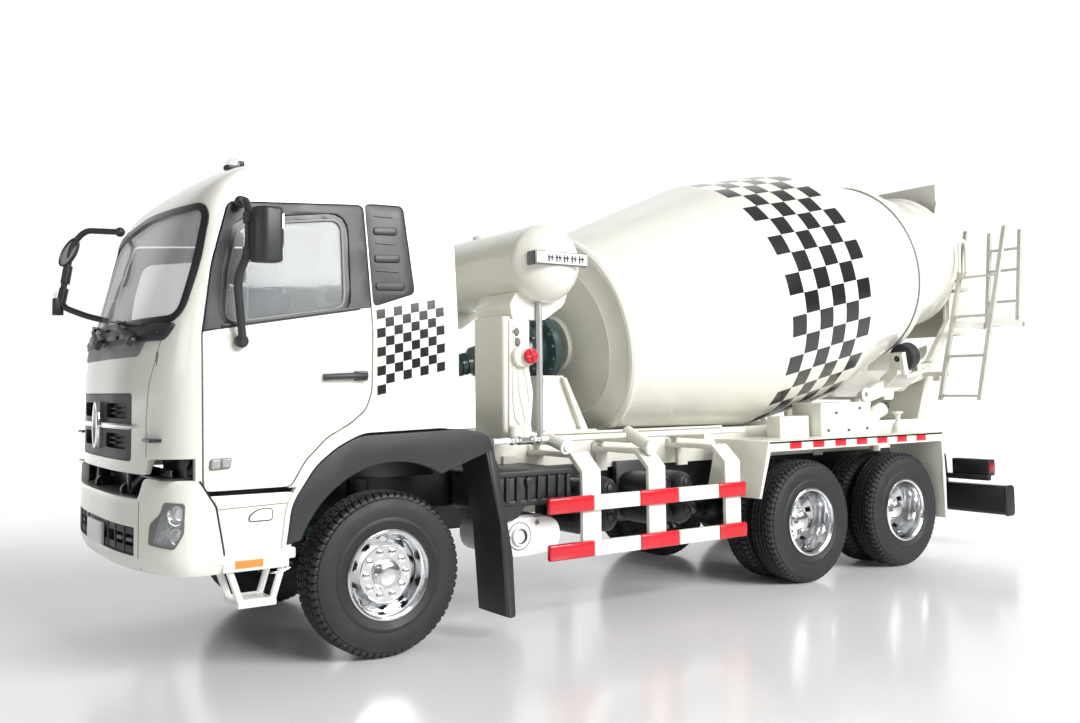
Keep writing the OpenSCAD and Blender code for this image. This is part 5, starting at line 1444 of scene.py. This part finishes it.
def make_silencer():
    silencer = Shape()
    flat = rounded([(44, 21.8), (56, 21.8), (60.6, 23.4), (62.2, 28), (60.6, 32.6), (56, 34.2), (44, 34.2),
                    (39.4, 32.6), (37.8, 28), (39.4, 23.4)], 2.6, 6)
    silencer.prism(flat, -44.4, -22, "Y", "white_metal", 0.9, 4)
    silencer.prism(grown(flat, -0.3), -45.2, -43.8, "Y", "white_metal", 0.35, 3)
    outlet = at(46, -45.2, 28.4) @ turned(90, "X")
    silencer.lathe([(2.3, -3), (2.3, 0.9), (2.6, 1.1), (2.9, 0.9), (3.1, 0.2), (3.9, 0.15), (4.0, -0.4),
                    (2.3, -3)], "white_metal", outlet, 48)
    # black plug and lining inside the outlet: painted shade of its bore
    silencer.lathe([(0, -1.6), (2.35, -1.6), (2.35, -2), (0, -2)], "black", outlet, 32)
    silencer.lathe([(2.28, 0.9), (2.2, 0.6), (2.2, -1.6)], "black", outlet, 48)
    silencer.lathe([(4.0, 0.1), (4.25, 0.1), (4.25, -0.2), (4.0, -0.2)], "trim_grey", outlet, 48)
    for x, z in ((42, 28.3), (52.6, 32)):
        silencer.lathe([(0, 0.5), (0.6, 0.4), (0.7, 0), (0, 0)], "trim_grey",
                       at(x, -45.2, z) @ turned(90, "X"), 16)
    for x in (44, 56):
        silencer.box((x - 1.1, -31, 33.6), (x + 1.1, -28, 35), "white_metal", 0.2)
    silencer.finish("silencer", "chassis", "steel", ["muffler"])


def make_air_tanks():
    tanks = Shape()
    for x in (79, 113):
        for z in (30, 39.6):
            for dx in (-4.9, 4.9):
                place = at(x + dx, 0, z) @ turned(90, "X")
                tanks.lathe([(0, 43), (1.9, 42.9), (3.0, 42.2), (3.9, 40.8), (4.25, 38.6), (4.25, 38),
                             (4.1, 37.9), (4.1, 37.6), (4.25, 37.5), (4.25, 26), (3.6, 22.6), (0, 22.2)],
                             "charcoal", place, 40)
                tanks.lathe([(1.3, 43.1), (1.6, 43.5), (1.9, 43.1), (1.6, 42.6)], "charcoal",
                            place @ at(0, 0.8, 0), 24)
                tanks.ball((x + dx, -43, z - 1.2), 0.55, "charcoal")
        tanks.box((x - 10, -22.6, 25.8), (x + 10, -20.2, 47), "charcoal", 0.3)
        for y in (-27, -37):
            tanks.box((x - 9.4, y - 0.8, 34.2), (x + 9.4, y + 0.8, 35.4), "trim_grey", 0.2)
    tanks.finish("air_tank_rows", "chassis", "black_frame", ["air_tanks"])


def make_fenders():
    deck = 53.4
    fender = Shape()
    fender.box((149.4, -52.6, deck - 1.2), (255.8, -25, deck), "ivory", 0.25)
    fender.box((149.4, -52.6, deck - 3.9), (255.8, -51.4, deck), "ivory", 0.3)
    front = rounded([(143.9, 33.2), (145.1, 33.2), (150.8, deck - 0.3), (149.3, deck - 0.3)], 0.4, 3)
    fender.prism(front, -52.5, -26, "Y", "ivory", 0.25)
    flap = rounded([(255.8, deck - 0.3), (254.6, deck - 0.3), (255.8, 34), (256, 17.4), (257.2, 17.4),
                    (257.3, 34)], 0.4, 3)
    fender.prism(flap, -52.4, -27, "Y", "ivory", 0.25)
    fender.tube([(150, -51.9, 49.6), (144.6, -51.9, 33.4)], 0.7, "ivory", 1, 10)
    fender.tube([(255.9, -51.9, 49), (256.2, -51.9, 33), (257, -51.9, 17.6)], 0.7, "ivory", 2, 10)
    for x in (156, 200, 246):
        fender.box((x, -25.6, deck - 4), (x + 3, -19.8, deck - 1), "ivory", 0.25)
    # deck box with its lid seam and bolts
    fender.box((190, -43, deck - 0.2), (221, -28.2, 66.2), "ivory", 0.5, 3)
    fender.box((189.9, -43.2, 65), (221.1, -28.4, 66.4), "ivory", 0.35, 3)
    for x, z in ((194, 55.6), (206.4, 55.4), (199, 62.4), (213.6, 64), (218, 55.8)):
        fender.lathe([(0, 0.8), (0.5, 0.7), (0.65, 0), (0, 0)], "trim_grey",
                     at(x, -43, z) @ turned(90, "X"), 12)
    fender.box((172, -38, deck - 0.2), (189, -31, 61.5), "ivory", 0.5, 3)
    for i in range(7):
        x = 160.4 + 12.8 * i
        fender.box((x, -52.66, deck - 3.2), (x + 6.5, -52.4, deck - 0.9), "red", 0.08)
    # pipes and a valve behind the deck box
    fender.tube([(229, -36, deck), (229, -36, 57), (232.5, -36, 61.4), (237.8, -36, 63)], 2.9, "ivory", 4, 24)
    fender.lathe([(0, 1.8), (3.9, 1.8), (4.1, 1.5), (4.1, 0), (0, 0)], "ivory", at(229, -36, deck), 32)
    fender.lathe([(0, 8.6), (2.2, 8.4), (2.4, 7.8), (1.2, 7), (0.9, 4.2), (1.8, 3.4), (2.6, 1.4), (2.8, 0),
                  (0, 0)], "ivory", at(245.6, -38, deck), 28)
    fender.ball((240.4, -36, 64.2), 1.6, "charcoal")
    fender.both_sides()
    fender.finish("rear_fender_decks", "chassis", "ivory_paint", ["rear_fenders"])


def make_rear_bumper():
    tail = Shape()
    bar = rounded([(305.8, 15), (306.6, 14), (311.4, 14), (312.2, 15), (312.2, 26), (311.4, 27), (306.6, 27),
                   (305.8, 26)], 0.6, 3)
    tail.prism(bar, -49.4, 49.4, "Y", "black", 0.3)
    for s in (-1, 1):
        tail.prism(grown(bar, 0.4), *sorted((s * 49.2, s * 50.6)), "Y", "black", 0.5, 3)
        arm = rounded([(289.6, 38), (297.4, 46.4), (308, 40), (309.6, 26.8), (306.2, 26.8), (304.6, 36)], 1,
                      3)
        tail.prism(arm, *sorted((s * 17.8, s * 19.8)), "Y", "black", 0.3)
    tail.box((301.8, -44.4, 29.4), (304.6, 44.4, 31.8), "black", 0.3)
    for s in (-1, 1):
        a, b = sorted((s * 16.8, s * 20))
        tail.box((301.8, a, 31), (304.6, b, 36.4), "black", 0.3)
    tail.finish("rear_bumper_bar", "chassis", "black_frame", ["rear_bumper"])


def make_tail_lamps():
    lamps = Shape()
    lamps.box((303, -44.2, 31.4), (308.2, -25.8, 38.8), "black", 0.5, 3)
    for y, paint in ((-43.4, "dark_red"), (-37.4, "orange"), (-31.6, "dark_red")):
        lamps.box((307.8, y, 32.1), (309.5, y + 5.2, 38.1), paint, 0.4, 3)
    lamps.box((303.4, -44.4, 33), (308, -43.8, 37.4), "dark_red", 0.2)
    lamps.both_sides()
    lamps.finish("tail_lamp_units", "chassis", "red_plastic", ["tail_lamps"])


def make_gearbox():
    place = drum_place()
    gear = Shape()
    gear.lathe([(0, -51.6), (3.0, -51.4), (3.4, -50.6), (3.4, -44), (5.2, -42.4), (5.6, -39), (5.2, -36),
                (4.8, -34), (4.8, -27), (6.6, -26), (6.8, -20.6), (8.6, -19.6), (9.0, -19.2), (9.0, -18.2),
                (8.4, -17.8), (8.4, -15.6), (12.6, -15.2), (12.9, -14.8), (12.9, -12.6), (12.6, -12.2),
                (8.85, -12), (8.85, -9.8), (4.2, -9.4), (4.2, -7.6), (0, -7.6)], "teal", place, 64)
    for count, r, z in ((12, 8.0, -20.2), (16, 11.6, -15.6)):
        for i in range(count):
            bolt = place @ Matrix.Rotation(math.tau / count * i, 4, "Z") @ at(r, 0, z)
            gear.lathe([(0, -0.6), (0.55, -0.6), (0.6, 0.6), (0, 0.6)], "teal", bolt, 10)
    gear.box((-3, -7, -36), (3, 7, -29), "teal", 0.6, 3, place)
    for s in (-1, 1):
        gear.tube([(0, s * 6, -33), (1, s * 9.4, -33), (6, s * 9.6, -32), (14, s * 9.4, -30)], 0.9, "black",
                  3, 12, place=place)
    for z in (-48, -45.6):
        gear.lathe([(3.2, z - 0.5), (3.9, z - 0.5), (3.9, z + 0.5), (3.2, z + 0.5)], "teal", place, 40)
    gear.finish("gearbox", "chassis", "teal_paint", ["drum_gearbox"])


def make_gearbox_pedestal():
    base = Shape()
    side = rounded([(75, 57.6), (95.5, 57.6), (85.6, 77), (77, 77)], 0.6, 3)
    flange = [(95.5, 57.6), (85.6, 77), (84, 77), (92.4, 57.6)]
    for s in (-1, 1):
        base.prism(side, *sorted((s * 13.2, s * 15)), "Y", "ivory", 0.25)
        base.prism(flange, *sorted((s * 14, s * 17)), "Y", "ivory", 0.25)
    base.prism(rounded([(-15.4, 57.6), (15.4, 57.6), (13.6, 77), (-13.6, 77)], 0.6, 3), 76.4, 78, "X",
               "ivory", 0.25)
    base.prism(rounded([(-15.4, 57.6), (15.4, 57.6), (13.6, 77), (-13.6, 77)], 0.6, 3), 83.4, 84.6, "X",
               "ivory", 0.25)
    base.box((76.6, -14.6, 76.2), (86.2, 14.6, 77.8), "ivory", 0.4)
    base.box((75, -18.2, 57.3), (98, 18.2, 58.7), "ivory", 0.3)
    base.finish("gearbox_pedestal", "chassis", "ivory_paint", ["front_pedestal"])


def make_rollers():
    ring_r, roller_r, gap, along, a = 41.2, 6, 0.3, 166.5, math.radians(33)
    d = ring_r + roller_r + gap
    for side, name in ((-1, "left"), (1, "right")):
        place = drum_place() @ at(d * math.cos(a), side * d * math.sin(a), along)
        roller = Shape()
        roller.lathe([(1.5, -6.3), (0.2, -6.4), (0, -6.4)], "steel", place, 32)
        roller.lathe([(0, -6.4), (1.35, -6.4), (1.5, -6.2), (1.5, -3), (4.6, -3), (4.8, -2.7), (5.6, -2.9),
                      (6, -2.5), (6, -0.5), (5.85, -0.3), (5.85, 0.3), (6, 0.5), (6, 2.5), (5.6, 2.9),
                      (4.8, 2.7), (4.6, 3), (1.5, 3), (1.5, 6.2), (1.35, 6.4), (0, 6.4)], "charcoal", place,
                      64)
        roller.finish("roller_" + name + "_wheel", "roller_" + name, "charcoal_plastic",
                      ["drum_roller_" + name])


# ---------------------------------------------------------------- Floor, light and camera
def make_floor():
    floor = Shape()
    floor.box((-30000, -30000, -40), (30000, 30000, -0.05), "floor", 0)
    mesh = floor.finish("floor", None, None)


def lamp(name, place, aim, size, power, color=(1, 1, 1)):
    light = bpy.data.lights.new(name, "AREA")
    light.shape, light.size, light.size_y = "RECTANGLE", size[0], size[1]
    light.energy, light.color = power, color
    body = bpy.data.objects.new(name, light)
    body.location = place
    body.rotation_euler = (Vector(aim) - Vector(place)).to_track_quat("-Z", "Y").to_euler()
    bpy.context.scene.collection.objects.link(body)


BACKDROP = 1.06
BACKDROP_EDGE = (0.5, 0.72, 0, 1)           # cosine of the angle from the backdrop's middle, and its share
ROOM_LIGHT = (-0.2, 0.9, 0.12, 0.3)         # height and strength of the room's light, low and high


def make_lights():
    """A white backdrop behind the truck in a dimmer room, and a large lamp over its left side."""
    world = bpy.data.worlds.new("studio")
    scene.world = world
    world.use_nodes = True
    nodes, links = world.node_tree.nodes, world.node_tree.links
    nodes.clear()
    out, back = nodes.new("ShaderNodeOutputWorld"), nodes.new("ShaderNodeBackground")
    coord, split = nodes.new("ShaderNodeTexCoord"), nodes.new("ShaderNodeSeparateXYZ")
    behind, edge = nodes.new("ShaderNodeVectorMath"), nodes.new("ShaderNodeMapRange")
    height, mix = nodes.new("ShaderNodeMapRange"), nodes.new("ShaderNodeMix")
    behind.operation, mix.data_type = "DOT_PRODUCT", "FLOAT"
    yaw = math.radians(CAMERA_YAW)
    behind.inputs[1].default_value = (math.sin(yaw), math.cos(yaw), 0)
    edge.interpolation_type = height.interpolation_type = "SMOOTHSTEP"
    for ramp, values in ((edge, BACKDROP_EDGE), (height, ROOM_LIGHT)):
        for socket, value in zip(ramp.inputs[1:5], values):
            socket.default_value = value
    links.new(coord.outputs["Generated"], behind.inputs[0])
    links.new(coord.outputs["Generated"], split.inputs[0])
    links.new(behind.outputs["Value"], edge.inputs[0])
    links.new(split.outputs["Z"], height.inputs[0])
    links.new(edge.outputs[0], mix.inputs["Factor"])
    links.new(height.outputs[0], mix.inputs["A"])
    mix.inputs["B"].default_value = BACKDROP
    links.new(mix.outputs["Result"], back.inputs["Strength"])
    links.new(back.outputs[0], out.inputs[0])
    back.inputs["Color"].default_value = (1, 1, 1, 1)
    lamp("key_light", (0.38, -1.4, 0.82), (0.05, 0, 0.07), (1.1, 0.6), 35)
    lamp("front_light", (-1.5, -0.2, 0.3), (-0.2, 0, 0.07), (0.8, 0.4), 2.3)


CAMERA_PLACE = (-0.2654, -0.3021, 0.0735)
CAMERA_UP, CAMERA_ROLL = 3.6, -0.6
CAMERA_LENS, CAMERA_SHIFT = 33.4, (-0.0025, -0.034)


def make_camera():
    data = bpy.data.cameras.new("camera")
    data.lens, data.sensor_width = CAMERA_LENS, 36
    data.shift_x, data.shift_y = CAMERA_SHIFT
    data.clip_start, data.clip_end = 0.01, 100
    camera = bpy.data.objects.new("camera", data)
    yaw, up = math.radians(CAMERA_YAW), math.radians(CAMERA_UP)
    forward = Vector((math.sin(yaw) * math.cos(up), math.cos(yaw) * math.cos(up), math.sin(up)))
    turn = forward.to_track_quat("-Z", "Y").to_matrix().to_4x4()
    roll = turned(CAMERA_ROLL, "Z")
    camera.matrix_world = Matrix.Translation(CAMERA_PLACE) @ turn @ roll
    bpy.context.scene.collection.objects.link(camera)
    bpy.context.scene.camera = camera
    bpy.context.scene.view_settings.view_transform = "Standard"


def main():
    make_cab_shell()
    make_cab_floor()
    make_cab_details()
    make_wipers()
    make_grille()
    make_louvres()
    make_doors()
    make_mirror_left()
    make_mirror_right()
    make_interior()
    make_bumper()
    make_headlights()
    make_steps()
    make_arches()
    make_arch_lips()
    for name, side in (("left", -1), ("right", 1)):
        make_front_wheel(name, side)
        for pair, x in (("mid", AXLES[1]), ("rear", AXLES[2])):
            make_rear_wheels(pair, x, name, side)
    make_drum()
    make_tank()
    make_tank_stand()
    make_guards()
    make_side_boxes()
    make_silencer()
    make_air_tanks()
    make_fenders()
    make_rear_bumper()
    make_tail_lamps()
    make_gearbox()
    make_gearbox_pedestal()
    make_rollers()
    keep("black_cad", "chassis_frame", "front_axle_beam", "rear_axle_housings", "leaf_springs",
         "knuckle_left", "knuckle_right")
    keep("steel", "prop_shafts")
    keep("teal", "engine")
    keep("ivory_cad", "subframe", "rear_pedestal", "hopper", "chute_bracket", "chute")
    # ladders in the darker ivory, a painted shade
    keep("ladder", "rear_ladder", "folding_ladder")
    make_floor()
    make_lights()
    make_camera()


main()
